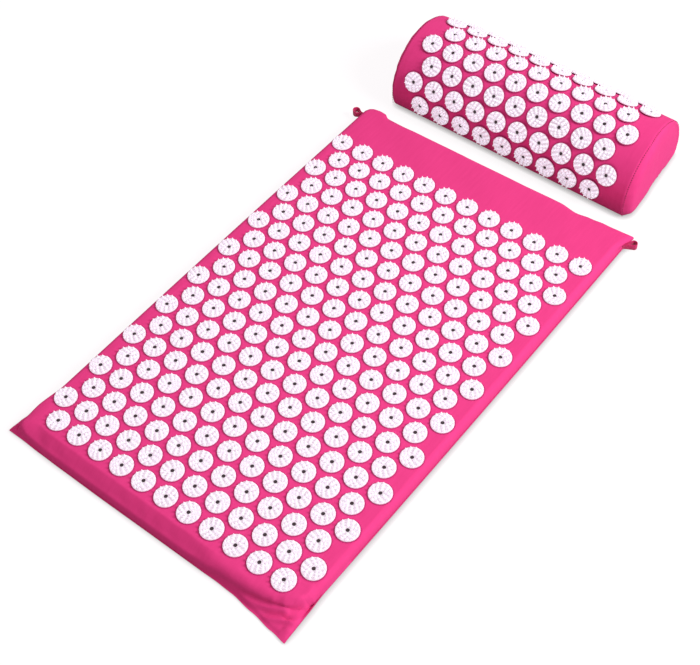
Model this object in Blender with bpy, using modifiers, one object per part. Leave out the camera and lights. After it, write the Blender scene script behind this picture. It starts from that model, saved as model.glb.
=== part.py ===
"""Acupressure mat and half-round pillow: cotton covers over foam, set with spiked plastic discs.

Metres, +Z up. The origin is the centre of the mat's underside. +X runs along a row of discs
and +Y from the mat's foot end to its head end, behind which the pillow stands by itself.
"""

import math

import bmesh
import bpy
from mathutils import Matrix, Vector

# Fits, cloth and shading
GAP = 0.0003
CLOTH = 0.0009
WELD = 0.00002
SMOOTH_BELOW = math.radians(40)

# One spiked disc
DISC_DIAMETER = 0.026
DISC_PLATE = 0.0013
SPIKE_HEIGHT = 0.0035
DISC_SPIKES = 6
CENTRE_DIMPLE = 0.0008
GLUE_WIDTH = 0.0040

# The mat's disc field: rows of MAT_ROW_DISCS take turns with rows of one disc fewer
MAT_PITCH = 0.0320
MAT_ROW_STEP = 0.02715
MAT_ROW_DISCS = 12
MAT_ROWS = 20

# The mat's cover and foam around that field
SIDE_MARGIN = 0.0055
HEAD_MARGIN = 0.0610
FOOT_MARGIN = 0.0216
SIDE_BOW = 0.0012
FOAM_THICKNESS = 0.0183
CORNER_RADIUS = 0.008
TOP_EDGE_RADIUS = 0.006
UNDER_EDGE_RADIUS = 0.004
SEAM_HEIGHT = 0.0098
HEAD_SLACK = 0.0042
BOW_STEPS = 6
ROUND_STEPS = 3
ROUND_PROFILE_SHARE = 0.5

# Ribbon loops sewn to the mat's head corners
RIBBON_WIDTH = 0.008
RIBBON_THICKNESS = 0.0009
LEFT_LOOP_LENGTH = 0.0150
LEFT_LOOP_EYE = 0.0084
LEFT_LOOP_FROM_HEAD = 0.0095
RIGHT_LOOP_LENGTH = 0.0180
RIGHT_LOOP_EYE = 0.0066
RIGHT_LOOP_FROM_HEAD = 0.0095
RIGHT_LOOP_TURN = math.radians(46)
LOOP_NECK = 0.0030
LOOP_STEPS = 8

# The pillow's disc field, wrapped round its curve: angles from straight up, front side negative
PILLOW_PITCH = 0.0317
PILLOW_ROW_DISCS = 10
PILLOW_ROWS = 7
PILLOW_ROW_TURN = math.radians(21.9)
PILLOW_MIDDLE_ROW = math.radians(-18.1)

# The pillow's cover and foam
PILLOW_RADIUS = 0.0708
PILLOW_AXIS_HEIGHT = 0.0188
PILLOW_LEFT_MARGIN = 0.0167
PILLOW_RIGHT_MARGIN = 0.0180
PILLOW_SIDEWAYS = -0.0066
PILLOW_STANDOFF = 0.0282
END_DRAW = 0.0050
END_ROUNDING = 0.0070
END_BULGE = 0.0070
END_RING_SHARES = (1.0, 0.8, 0.5)
FOAM_END_GAP = 0.0016
BASE_CORNER_RADIUS = 0.008
ARCH_STEPS = 18

# Zips: one in the mat's head wall and one in the pillow's back
MAT_ZIP_END_MARGIN = 0.0230
PILLOW_ZIP_END_MARGIN = 0.0400
PILLOW_ZIP_RECESS = 0.0004
TEETH_WIDTH = 0.0019
TEETH_DEPTH = 0.0016
TEETH_PARTING = 0.0012
TAPE_THICKNESS = 0.0005
TAPE_WIDTH = 0.0026
SLOT_SIDE_CLEARANCE = 0.0004
STOP_LENGTH = 0.0020
SLIDER_LENGTH = 0.0105
SLIDER_PLATE = 0.0007
SLIDER_LIP = 0.0014
SLIDER_POST = 0.0006
LUG_OPENING = 0.0022
LUG_RISE = 0.0020
LUG_BAR = 0.0008
LUG_WIDTH = 0.0020
PULL_THICKNESS = 0.0009
PULL_BAR = 0.0009
PULL_LENGTH = 0.0215
PULL_GRIP_WIDTH = 0.0058
PULL_STEPS = 8
CUT_OVERRUN = 0.0050

# Worked out from the sizes above
MAT_THICKNESS = FOAM_THICKNESS + 2 * (CLOTH + GAP)
MAT_WIDTH = (MAT_ROW_DISCS - 1) * MAT_PITCH + DISC_DIAMETER + 2 * SIDE_MARGIN
MAT_LENGTH = (MAT_ROWS - 1) * MAT_ROW_STEP + DISC_DIAMETER + HEAD_MARGIN + FOOT_MARGIN
FIELD_CENTRE_Y = (FOOT_MARGIN - HEAD_MARGIN) / 2
HEAD_Y = MAT_LENGTH / 2
SKIN = CLOTH + GAP
PILLOW_LENGTH = (
    (PILLOW_ROW_DISCS - 1) * PILLOW_PITCH
    + DISC_DIAMETER
    + PILLOW_LEFT_MARGIN
    + PILLOW_RIGHT_MARGIN
)
DISC_STAND = GAP + DISC_PLATE + SPIKE_HEIGHT
PILLOW_CENTRE = Vector(
    (
        PILLOW_SIDEWAYS + (PILLOW_RIGHT_MARGIN - PILLOW_LEFT_MARGIN) / 2,
        HEAD_Y + PILLOW_STANDOFF + PILLOW_RADIUS + DISC_STAND,
        PILLOW_AXIS_HEIGHT,
    )
)
TEETH_REACH = TEETH_PARTING / 2 + TEETH_WIDTH
SLIDER_HALF_WIDTH = TEETH_REACH + GAP + SLIDER_LIP
SLOT_HALF_HEIGHT = SLIDER_HALF_WIDTH + SLOT_SIDE_CLEARANCE
PLATE_INNER = TEETH_DEPTH / 2 + GAP
PLATE_OUTER = PLATE_INNER + SLIDER_PLATE
ZIP_SETBACK = SKIN + GAP + TAPE_THICKNESS / 2
PULL_AXIS_OUT = PLATE_OUTER + LUG_RISE / 2
FOAM_BACK_CLEARANCE = ZIP_SETBACK + PLATE_OUTER + GAP + PILLOW_ZIP_RECESS


def clear_scene():
    """Removes every object of the scene that the file opened with."""
    for thing in list(bpy.data.objects):
        bpy.data.objects.remove(thing, do_unlink=True)


def material(name, colour, roughness, metallic=0.0):
    """A plain Principled material of one colour."""
    made = bpy.data.materials.new(name)
    made.use_nodes = True
    shader = made.node_tree.nodes["Principled BSDF"]
    shader.inputs["Base Color"].default_value = (*colour, 1.0)
    shader.inputs["Roughness"].default_value = roughness
    shader.inputs["Metallic"].default_value = metallic
    return made


def new_collection(name):
    """A collection of this name under the scene's own."""
    made = bpy.data.collections.new(name)
    bpy.context.scene.collection.children.link(made)
    return made


def add_object(name, data, finish, group, location=(0.0, 0.0, 0.0)):
    """Puts a mesh or curve into a collection as a named object with its material."""
    thing = bpy.data.objects.new(name, data)
    thing.location = location
    if not data.materials:
        data.materials.append(finish)
    group.objects.link(thing)
    return thing


def mesh_from(bm, name):
    """Turns a bmesh into mesh data with its normals facing out, and frees it."""
    bmesh.ops.recalc_face_normals(bm, faces=bm.faces)
    data = bpy.data.meshes.new(name)
    bm.to_mesh(data)
    bm.free()
    return data


def shade_round(data):
    """Shades a mesh smooth and keeps its sharper edges, then returns it."""
    data.shade_smooth()
    data.set_sharp_from_angle(angle=SMOOTH_BELOW)
    return data


def box_mesh(name, low, high):
    """A box between two corners."""
    bm = bmesh.new()
    bmesh.ops.create_cube(bm, size=1)
    size = Vector(high) - Vector(low)
    centre = (Vector(high) + Vector(low)) / 2
    bmesh.ops.scale(bm, vec=size, verts=bm.verts)
    bmesh.ops.translate(bm, vec=centre, verts=bm.verts)
    return mesh_from(bm, name)


def outline_mesh(name, outlines, half_depth, turn=Matrix()):
    """A flat plate of closed outlines, the later ones being holes, made from a filled 2D curve."""
    curve = bpy.data.curves.new(name, "CURVE")
    curve.dimensions = "2D"
    curve.fill_mode = "BOTH"
    curve.extrude = half_depth
    for points in outlines:
        spline = curve.splines.new("POLY")
        spline.points.add(len(points) - 1)
        for point, (x, y) in zip(spline.points, points):
            point.co = (x, y, 0.0, 1.0)
        spline.use_cyclic_u = True
    guide = bpy.data.objects.new(name + "_outline", curve)
    bpy.context.scene.collection.objects.link(guide)
    graph = bpy.context.evaluated_depsgraph_get()
    data = bpy.data.meshes.new_from_object(guide.evaluated_get(graph))
    bpy.data.objects.remove(guide, do_unlink=True)
    bpy.data.curves.remove(curve)
    bm = bmesh.new()
    bm.from_mesh(data)
    bpy.data.meshes.remove(data)
    bmesh.ops.remove_doubles(bm, verts=bm.verts, dist=WELD)
    bmesh.ops.transform(bm, matrix=turn, verts=bm.verts)
    return mesh_from(bm, name)


def cut_with(thing, cutter, operation="DIFFERENCE"):
    """Adds an exact Boolean with a cutter that stays out of the model."""
    cutter.hide_render = True
    cutter.display_type = "WIRE"
    boolean = thing.modifiers.new(cutter.name, "BOOLEAN")
    boolean.operation = operation
    boolean.object = cutter
    boolean.solver = "EXACT"


def thicken(thing):
    """Gives an open cloth surface its thickness, inwards from its outer face."""
    wall = thing.modifiers.new("cloth thickness", "SOLIDIFY")
    wall.thickness = CLOTH
    wall.offset = -1.0
    wall.use_even_offset = True


def drawn_in(x, y):
    """Pulls a point of the mat towards its centre line, more towards the corners."""
    return x * (1 - SIDE_BOW / (MAT_WIDTH / 2) * (y / HEAD_Y) ** 2)


def edges_at(bm, z):
    """The edges that lie at one height."""
    return [e for e in bm.edges if all(abs(v.co.z - z) < WELD for v in e.verts)]


def pad_bmesh(inset, head_slack, low, high, low_radius, high_radius):
    """A slab with round corners, rounded upper and lower edges and drawn-in long sides.

    A radius of zero leaves that edge square.
    """
    bm = bmesh.new()
    bmesh.ops.create_cube(bm, size=1)
    length = MAT_LENGTH - 2 * inset - head_slack
    size = Vector((MAT_WIDTH - 2 * inset, length, high - low))
    bmesh.ops.scale(bm, vec=size, verts=bm.verts)
    centre = Vector((0.0, -head_slack / 2, (high + low) / 2))
    bmesh.ops.translate(bm, vec=centre, verts=bm.verts)
    upright = [e for e in bm.edges if abs(e.verts[0].co.z - e.verts[1].co.z) > WELD]
    bmesh.ops.bevel(
        bm,
        geom=upright,
        offset=CORNER_RADIUS - inset,
        segments=ROUND_STEPS,
        profile=ROUND_PROFILE_SHARE,
        affect="EDGES",
    )
    for height, radius in ((low, low_radius), (high, high_radius)):
        if radius > 0:
            bmesh.ops.bevel(
                bm,
                geom=edges_at(bm, height),
                offset=radius,
                segments=ROUND_STEPS,
                profile=ROUND_PROFILE_SHARE,
                affect="EDGES",
            )
    for step in range(1, BOW_STEPS):
        level = Vector((0.0, MAT_LENGTH * (step / BOW_STEPS - 0.5), 0.0))
        geometry = bm.verts[:] + bm.edges[:] + bm.faces[:]
        bmesh.ops.bisect_plane(bm, geom=geometry, plane_co=level, plane_no=(0.0, 1.0, 0.0))
    for vertex in bm.verts:
        vertex.co.x = drawn_in(vertex.co.x, vertex.co.y)
    return bm


def open_at(bm, z):
    """Deletes the flat faces at one height, which opens a slab into a tray."""
    flat = [f for f in bm.faces if all(abs(v.co.z - z) < WELD for v in f.verts)]
    bmesh.ops.delete(bm, geom=flat, context="FACES")


def make_mat_cover(parts, cutters, cotton, foam):
    """The mat's two cover panels, which meet at a seam round the edge, and the foam between them."""
    seam_low = SEAM_HEIGHT - GAP / 2
    seam_high = SEAM_HEIGHT + GAP / 2
    top = pad_bmesh(0.0, 0.0, seam_high, MAT_THICKNESS, 0.0, TOP_EDGE_RADIUS)
    open_at(top, seam_high)
    bottom = pad_bmesh(0.0, 0.0, 0.0, seam_low, UNDER_EDGE_RADIUS, 0.0)
    open_at(bottom, seam_low)
    slab = pad_bmesh(
        SKIN,
        HEAD_SLACK - SKIN,
        SKIN,
        MAT_THICKNESS - SKIN,
        UNDER_EDGE_RADIUS - SKIN,
        TOP_EDGE_RADIUS - SKIN,
    )
    slot_half = mat_zip_half() + 2 * GAP + STOP_LENGTH
    slot = box_mesh(
        "mat_zip_slot",
        (-slot_half, HEAD_Y - CUT_OVERRUN, SEAM_HEIGHT - SLOT_HALF_HEIGHT),
        (slot_half, HEAD_Y + CUT_OVERRUN, SEAM_HEIGHT + SLOT_HALF_HEIGHT),
    )
    cutter = add_object("mat_zip_slot", slot, cotton, cutters)
    for name, bm in (("mat_top_panel", top), ("mat_bottom_panel", bottom)):
        panel = add_object(name, shade_round(mesh_from(bm, name)), cotton, parts)
        thicken(panel)
        cut_with(panel, cutter)
    add_object("mat_foam_core", shade_round(mesh_from(slab, "mat_foam_core")), foam, parts)


def mat_zip_half():
    """Half the length of the mat zip's teeth."""
    return MAT_WIDTH / 2 - MAT_ZIP_END_MARGIN


def pillow_zip_half():
    """Half the length of the pillow zip's teeth."""
    return PILLOW_LENGTH / 2 - PILLOW_ZIP_END_MARGIN


def add_disc(bm, x, linked_left):
    """Adds one disc at x: a thin plate whose rim rises in spikes, with a dimple at its centre.

    Two narrow facets face the neighbours along the row. The left one is left open where a
    bead of glue arrives, and the right one is returned for the next bead to start from.
    """
    centre = Vector((x, 0.0, DISC_PLATE / 2))
    points = 2 * DISC_SPIKES
    made = bmesh.ops.create_cone(
        bm,
        cap_ends=True,
        segments=points,
        radius1=DISC_DIAMETER / 2,
        radius2=DISC_DIAMETER / 2,
        depth=DISC_PLATE,
        matrix=Matrix.Translation(centre),
    )["verts"]

    def around(vertex):
        turn = math.atan2(vertex.co.y, vertex.co.x - x)
        return round(turn / math.tau * points) % points

    low = sorted((v for v in made if v.co.z < centre.z), key=around)
    high = sorted((v for v in made if v.co.z > centre.z), key=around)
    plate = next(f for f in bm.faces if set(f.verts) == set(high))
    hub = bmesh.ops.poke(bm, faces=[plate])["verts"][0]
    hub.co.z -= CENTRE_DIMPLE
    for vertex in high[1::2]:
        vertex.co.z += SPIKE_HEIGHT
    doors = []
    for start, side in ((0, 1), (DISC_SPIKES, -1)):
        low[start].co.y = -side * GLUE_WIDTH / 2
        low[start + 1].co = low[start].co
        low[start + 1].co.y = side * GLUE_WIDTH / 2
        doors.append((low[start], low[start + 1], high[start]))
    kept = (1, DISC_SPIKES + 1)
    merged = {low[i]: low[i - 1] for i in range(1, points, 2) if i not in kept}
    bmesh.ops.weld_verts(bm, targetmap=merged)
    walls = {f for v in high for f in v.link_faces if len(f.verts) == 4}
    bmesh.ops.triangulate(bm, faces=list(walls), quad_method="SHORT_EDGE")
    right, left = (bm.faces.get(corners) for corners in doors)
    if linked_left:
        bm.faces.remove(left)
    return right


def disc_row_mesh(name, count, pitch):
    """A row of discs, joined by its line of glue."""
    bm = bmesh.new()
    for place in range(count):
        x = (place - (count - 1) / 2) * pitch
        door = add_disc(bm, x, linked_left=place > 0)
        if place < count - 1:
            end = bmesh.ops.extrude_discrete_faces(bm, faces=[door])["faces"][0]
            reach = Vector((pitch - DISC_DIAMETER, 0.0, 0.0))
            bmesh.ops.translate(bm, vec=reach, verts=end.verts[:])
            bmesh.ops.delete(bm, geom=[end], context="FACES_ONLY")
    bmesh.ops.remove_doubles(bm, verts=bm.verts, dist=WELD)
    return mesh_from(bm, name)


def make_mat_discs(parts, plastic):
    """The mat's rows of discs, numbered from the head end."""
    long_row = disc_row_mesh("mat_long_row", MAT_ROW_DISCS, MAT_PITCH)
    short_row = disc_row_mesh("mat_short_row", MAT_ROW_DISCS - 1, MAT_PITCH)
    for row in range(MAT_ROWS):
        y = FIELD_CENTRE_Y + ((MAT_ROWS - 1) / 2 - row) * MAT_ROW_STEP
        data = short_row if row % 2 else long_row
        place = (0.0, y, MAT_THICKNESS + GAP)
        add_object(f"mat_disc_row_{row + 1:02d}", data, plastic, parts, place)


def loop_outline(length, eye, offset):
    """Half-way line of a ribbon loop, moved outwards by offset: a neck that opens into an eye."""
    round_radius = eye / 2 + RIBBON_THICKNESS / 2
    far = length - round_radius
    neck = RIBBON_THICKNESS / 2
    points = []
    for step in range(LOOP_STEPS + 1):
        angle = math.pi * (0.5 - step / LOOP_STEPS)
        reach = round_radius + offset
        points.append((far + reach * math.cos(angle), reach * math.sin(angle)))
    inner = offset < 0
    start = LOOP_NECK if inner else 0.0
    if inner:
        return points + [(start, 0.0)]
    for step in range(ROUND_STEPS + 1):
        angle = math.pi * (-0.5 - step / ROUND_STEPS)
        reach = neck + offset
        points.append((reach * math.cos(angle), reach * math.sin(angle)))
    return points


def make_loop(name, length, eye, place, turn, parts, cotton):
    """A ribbon loop that stands on its edge, its neck round the stitching's upright axis."""
    half = RIBBON_THICKNESS / 2
    outlines = (loop_outline(length, eye, half), loop_outline(length, eye, -half))
    data = shade_round(outline_mesh(name, outlines, RIBBON_WIDTH / 2))
    loop = add_object(name, data, cotton, parts, place)
    loop.rotation_euler = (0.0, 0.0, turn)


def make_mat_loops(parts, cotton):
    """The loops at the two head corners, pointing away from the mat."""
    stand_off = RIBBON_THICKNESS + GAP
    for name, side, length, eye, back, turn in (
        ("mat_left_loop", -1, LEFT_LOOP_LENGTH, LEFT_LOOP_EYE, LEFT_LOOP_FROM_HEAD, math.pi),
        ("mat_right_loop", 1, RIGHT_LOOP_LENGTH, RIGHT_LOOP_EYE, RIGHT_LOOP_FROM_HEAD, RIGHT_LOOP_TURN),
    ):
        y = HEAD_Y - back
        x = side * (drawn_in(MAT_WIDTH / 2, y) + stand_off)
        make_loop(name, length, eye, (x, y, SEAM_HEIGHT), turn, parts, cotton)


def make_zip(prefix, place, half_length, finishes, parts, cutters):
    """A closed zip along X whose outer side faces +Y: tapes, rows of teeth, stops, slider, pull.

    The two rows of teeth stand a hair apart, so that the slider's post can run between them.
    """
    cotton, teeth, metal = finishes
    origin = Vector(place)
    depth = TEETH_DEPTH / 2
    tape_half = half_length + 3 * GAP + STOP_LENGTH
    tape_low = TEETH_REACH + GAP
    for name, side in (("upper", 1), ("lower", -1)):
        spans = (
            ("teeth", half_length, depth, TEETH_PARTING / 2, TEETH_REACH, teeth),
            ("tape", tape_half, TAPE_THICKNESS / 2, tape_low, tape_low + TAPE_WIDTH, cotton),
        )
        for kind, reach, half_depth, near, far, finish in spans:
            lows = (-reach, -half_depth, min(side * near, side * far))
            highs = (reach, half_depth, max(side * near, side * far))
            full = f"{prefix}_zip_{name}_{kind}"
            add_object(full, box_mesh(full, lows, highs), finish, parts, origin)
    for name, side in (("left", -1), ("right", 1)):
        full = f"{prefix}_zip_{name}_stop"
        near = half_length + GAP
        ends = sorted((side * near, side * (near + STOP_LENGTH)))
        lows = (ends[0], -depth, -TEETH_REACH)
        highs = (ends[1], depth, TEETH_REACH)
        add_object(full, box_mesh(full, lows, highs), metal, parts, origin)
    rest = origin + Vector((half_length - SLIDER_LENGTH / 2 - GAP, 0.0, 0.0))
    make_slider(prefix, rest, metal, parts, cutters)
    make_pull(prefix, rest + Vector((0.0, PULL_AXIS_OUT, 0.0)), metal, parts)


def make_slider(prefix, place, metal, parts, cutters):
    """The slider: two plates joined by a post, lips that hold the teeth, and the pull's lug."""
    half = SLIDER_HALF_WIDTH
    lip_in = TAPE_THICKNESS / 2 + GAP
    lip_near = TEETH_REACH + GAP
    post = SLIDER_POST / 2
    quarter = [
        (post, PLATE_INNER),
        (lip_near, PLATE_INNER),
        (lip_near, lip_in),
        (half, lip_in),
        (half, PLATE_OUTER),
    ]
    upper = quarter + [(-x, y) for x, y in reversed(quarter)]
    section = upper + [(-x, -y) for x, y in upper]
    upright = Matrix.Rotation(math.pi / 2, 4, "Y")
    name = f"{prefix}_zip_slider"
    body = outline_mesh(name, (section,), SLIDER_LENGTH / 2, upright)
    slider = add_object(name, body, metal, parts, place)
    inner = LUG_OPENING / 2
    outer = inner + LUG_BAR
    top = PLATE_OUTER + LUG_RISE
    arch = [
        (-outer, PLATE_OUTER - SLIDER_PLATE / 2),
        (-outer, top + LUG_BAR / 2),
        (-inner, top + LUG_BAR),
        (inner, top + LUG_BAR),
        (outer, top + LUG_BAR / 2),
        (outer, PLATE_OUTER - SLIDER_PLATE / 2),
        (inner, PLATE_OUTER - SLIDER_PLATE / 2),
        (inner, top),
        (-inner, top),
        (-inner, PLATE_OUTER - SLIDER_PLATE / 2),
    ]
    lug_name = f"{prefix}_zip_lug"
    lug = outline_mesh(lug_name, (arch,), LUG_WIDTH / 2)
    cut_with(slider, add_object(lug_name, lug, metal, cutters, place), "UNION")


def make_pull(prefix, place, metal, parts):
    """The pull tab: a plate with a window, whose end bar turns inside the slider's lug."""
    bar = PULL_BAR / 2
    lug_corner = math.hypot(LUG_OPENING / 2 + LUG_BAR, LUG_RISE / 2 + LUG_BAR)
    window_far = lug_corner + GAP
    window_half = LUG_WIDTH / 2 + GAP
    neck_half = window_half + PULL_BAR
    grip = PULL_GRIP_WIDTH / 2
    far = PULL_LENGTH - grip
    outline = [(bar, -neck_half), (bar, neck_half), (-window_far - PULL_BAR, neck_half)]
    for step in range(PULL_STEPS + 1):
        angle = math.pi * (0.5 + step / PULL_STEPS)
        outline.append((-far + grip * math.cos(angle), grip * math.sin(angle)))
    outline.append((-window_far - PULL_BAR, -neck_half))
    window = [
        (-bar, -window_half),
        (-bar, window_half),
        (-window_far, window_half),
        (-window_far, -window_half),
    ]
    upright = Matrix.Rotation(math.pi / 2, 4, "X")
    name = f"{prefix}_zip_pull"
    data = outline_mesh(name, (outline, window), PULL_THICKNESS / 2, upright)
    add_object(name, shade_round(data), metal, parts, place)


def base_angle(radius, height):
    """The angle from straight up at which the pillow's curve comes down to a height."""
    return math.acos((height - PILLOW_AXIS_HEIGHT) / radius)


def arch_profile():
    """Points (x, radius) along the pillow, whose two ends curve inwards towards their seams."""
    left = []
    for step in range(ROUND_STEPS + 1):
        angle = math.pi / 2 * step / ROUND_STEPS
        x = -PILLOW_LENGTH / 2 + END_ROUNDING * (1 - math.cos(angle))
        left.append((x, PILLOW_RADIUS - END_DRAW * (1 - math.sin(angle))))
    return left + [(-x, radius) for x, radius in reversed(left)]


def make_pillow_arch(parts, cutters, cotton):
    """The pillow's main panel: a profile along X turned round the pillow's axis, with a zip slot."""
    sweep = base_angle(PILLOW_RADIUS, SKIN)
    bm = bmesh.new()
    start = Matrix.Rotation(sweep, 3, "X")
    verts = [bm.verts.new(start @ Vector((x, 0.0, radius))) for x, radius in arch_profile()]
    edges = [bm.edges.new(pair) for pair in zip(verts, verts[1:])]
    bmesh.ops.spin(
        bm,
        geom=verts + edges,
        cent=(0.0, 0.0, 0.0),
        axis=(1.0, 0.0, 0.0),
        angle=-2 * sweep,
        steps=ARCH_STEPS,
        use_merge=False,
    )
    bmesh.ops.recalc_face_normals(bm, faces=bm.faces)
    middle = min(bm.faces, key=lambda f: abs(f.calc_center_median().y))
    if middle.normal.z < 0:
        bmesh.ops.reverse_faces(bm, faces=bm.faces)
    data = bpy.data.meshes.new("pillow_top_panel")
    bm.to_mesh(data)
    bm.free()
    arch = add_object("pillow_top_panel", shade_round(data), cotton, parts, PILLOW_CENTRE)
    thicken(arch)
    slot_half = pillow_zip_half() + 2 * GAP + STOP_LENGTH
    slot = box_mesh(
        "pillow_zip_slot",
        (-slot_half, PILLOW_RADIUS - CUT_OVERRUN, -SLOT_HALF_HEIGHT),
        (slot_half, PILLOW_RADIUS + CUT_OVERRUN, SLOT_HALF_HEIGHT),
    )
    cut_with(arch, add_object("pillow_zip_slot", slot, cotton, cutters, PILLOW_CENTRE))


def half_round(radius, floor, back=None):
    """Points of the pillow's cross-section (y, z about its axis), cut off at a floor height."""
    sweep = base_angle(radius, floor)
    points = []
    for step in range(ARCH_STEPS + 1):
        angle = sweep * (2 * step / ARCH_STEPS - 1)
        y = radius * math.sin(angle)
        if back is not None:
            y = min(y, back)
        points.append(Vector((0.0, y, radius * math.cos(angle))))
    return points


def loft(name, rings, closed):
    """Skins a list of rings of equal length and closes its last end, and its first if closed."""
    bm = bmesh.new()
    rows = [[bm.verts.new(point) for point in ring] for ring in rings]
    for row, following in zip(rows, rows[1:]):
        for place in range(len(row)):
            beside = (place + 1) % len(row)
            bm.faces.new((row[place], row[beside], following[beside], following[place]))
    bm.faces.new(rows[-1])
    if closed:
        bm.faces.new(reversed(rows[0]))
        return mesh_from(bm, name)
    data = bpy.data.meshes.new(name)
    bm.to_mesh(data)
    bm.free()
    return data


def make_pillow_ends(parts, cotton):
    """The two D-shaped end panels, which swell outwards over the foam."""
    radius = PILLOW_RADIUS - END_DRAW - CLOTH
    section = half_round(radius, SKIN)
    middle_z = (radius + SKIN - PILLOW_AXIS_HEIGHT) / 2
    centre = Vector((0.0, 0.0, middle_z))
    for name, side in (("left", -1), ("right", 1)):
        rings = []
        for share in END_RING_SHARES:
            x = side * (PILLOW_LENGTH / 2 + END_BULGE * (1 - share**2))
            rings.append([centre + (p - centre) * share + Vector((x, 0.0, 0.0)) for p in section])
        if side > 0:
            rings = [ring[::-1] for ring in rings]
        full = f"pillow_{name}_end_panel"
        data = shade_round(loft(full, rings, closed=False))
        thicken(add_object(full, data, cotton, parts, PILLOW_CENTRE))


def make_pillow_foam(parts, foam):
    """The foam core: a half-round log, tapered at its ends and cut flat behind the zip."""
    radius = PILLOW_RADIUS - SKIN - GAP
    back = PILLOW_RADIUS - FOAM_BACK_CLEARANCE
    section = half_round(radius, SKIN, back)
    floor = SKIN - PILLOW_AXIS_HEIGHT
    half = PILLOW_LENGTH / 2
    taper = (radius - END_DRAW - SKIN) / radius
    rings = []
    for x, share in (
        (-half + FOAM_END_GAP, taper),
        (-half + END_ROUNDING + SKIN, 1.0),
        (half - END_ROUNDING - SKIN, 1.0),
        (half - FOAM_END_GAP, taper),
    ):
        ring = [Vector((x, p.y * share, floor + (p.z - floor) * share)) for p in section]
        rings.append(ring)
    data = shade_round(loft("pillow_foam_core", rings, closed=True))
    add_object("pillow_foam_core", data, foam, parts, PILLOW_CENTRE)


def make_pillow_base(parts, cotton):
    """The flat panel under the pillow, with round corners."""
    half_x = PILLOW_LENGTH / 2
    half_y = PILLOW_RADIUS * math.sin(base_angle(PILLOW_RADIUS, 0.0))
    radius = BASE_CORNER_RADIUS
    outline = []
    for corner, (side_x, side_y) in enumerate(((1, 1), (-1, 1), (-1, -1), (1, -1))):
        for step in range(ROUND_STEPS + 1):
            angle = math.pi / 2 * (corner + step / ROUND_STEPS)
            x = side_x * (half_x - radius) + radius * math.cos(angle)
            y = side_y * (half_y - radius) + radius * math.sin(angle)
            outline.append((x, y))
    data = outline_mesh("pillow_bottom_panel", (outline,), CLOTH / 2)
    place = Vector((PILLOW_CENTRE.x, PILLOW_CENTRE.y, CLOTH / 2))
    add_object("pillow_bottom_panel", data, cotton, parts, place)


def make_pillow_discs(parts, plastic):
    """The pillow's rows of discs, numbered from the front, each square to the curve under it."""
    long_row = disc_row_mesh("pillow_long_row", PILLOW_ROW_DISCS, PILLOW_PITCH)
    short_row = disc_row_mesh("pillow_short_row", PILLOW_ROW_DISCS - 1, PILLOW_PITCH)
    for row in range(PILLOW_ROWS):
        turn = PILLOW_MIDDLE_ROW + (row - (PILLOW_ROWS - 1) / 2) * PILLOW_ROW_TURN
        outwards = Vector((0.0, math.sin(turn), math.cos(turn)))
        place = PILLOW_CENTRE + outwards * (PILLOW_RADIUS + GAP)
        place.x = PILLOW_SIDEWAYS
        data = long_row if row % 2 else short_row
        discs = add_object(f"pillow_disc_row_{row + 1}", data, plastic, parts, place)
        discs.rotation_euler = (-turn, 0.0, 0.0)


def main():
    """Builds the mat and the pillow."""
    clear_scene()
    parts = new_collection("acupressure_mat")
    cutters = new_collection("cutters")
    cotton = material("pink cotton", (0.85, 0.07, 0.26), 0.85)
    foam = material("foam", (0.85, 0.82, 0.70), 0.9)
    plastic = material("white plastic", (0.95, 0.93, 0.97), 0.35)
    teeth = material("pink zip teeth", (0.70, 0.05, 0.20), 0.5)
    metal = material("nickel", (0.75, 0.75, 0.77), 0.3, 1.0)
    make_mat_cover(parts, cutters, cotton, foam)
    make_mat_loops(parts, cotton)
    make_mat_discs(parts, plastic)
    mat_zip = (0.0, HEAD_Y - ZIP_SETBACK, SEAM_HEIGHT)
    make_zip("mat", mat_zip, mat_zip_half(), (cotton, teeth, metal), parts, cutters)
    make_pillow_arch(parts, cutters, cotton)
    make_pillow_ends(parts, cotton)
    make_pillow_foam(parts, foam)
    make_pillow_base(parts, cotton)
    make_pillow_discs(parts, plastic)
    behind = Vector((0.0, PILLOW_RADIUS - ZIP_SETBACK - PILLOW_ZIP_RECESS, 0.0))
    pillow_zip = PILLOW_CENTRE + behind
    make_zip("pillow", pillow_zip, pillow_zip_half(), (cotton, teeth, metal), parts, cutters)


main()
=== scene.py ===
"""Looks of an acupressure mat and its half-round neck pillow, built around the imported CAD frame.

Both are pink cotton covers over foam, set with white plastic discs of 27 spikes each. The covers,
ribbon loops, discs, stitches and zip teeth made here stand for the plain CAD solids. The other
zip parts keep their CAD shape and get a finish. Lengths are in metres unless a name says mm.
"""

from __future__ import annotations

import logging
import math
from collections.abc import Sequence
from dataclasses import dataclass, field
from enum import Enum

import bmesh
import bpy
import numpy as np
from mathutils import Euler, Matrix, Vector

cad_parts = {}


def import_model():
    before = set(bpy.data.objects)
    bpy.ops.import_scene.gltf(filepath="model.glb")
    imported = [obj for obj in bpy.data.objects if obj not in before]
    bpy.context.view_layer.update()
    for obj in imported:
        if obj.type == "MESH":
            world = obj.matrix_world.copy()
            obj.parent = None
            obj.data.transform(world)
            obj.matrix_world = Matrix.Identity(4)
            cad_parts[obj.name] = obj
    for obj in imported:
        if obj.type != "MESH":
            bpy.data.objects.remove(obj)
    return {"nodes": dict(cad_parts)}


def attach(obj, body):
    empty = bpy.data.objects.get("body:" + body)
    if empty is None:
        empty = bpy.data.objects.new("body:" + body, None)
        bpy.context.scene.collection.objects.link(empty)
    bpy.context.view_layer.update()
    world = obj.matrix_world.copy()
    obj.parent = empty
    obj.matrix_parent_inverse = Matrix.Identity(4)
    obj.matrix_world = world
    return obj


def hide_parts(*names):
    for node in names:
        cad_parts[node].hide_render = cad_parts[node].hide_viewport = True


LOG = logging.getLogger("mat_and_pillow")
MM = 0.001
SEED = 7
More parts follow.
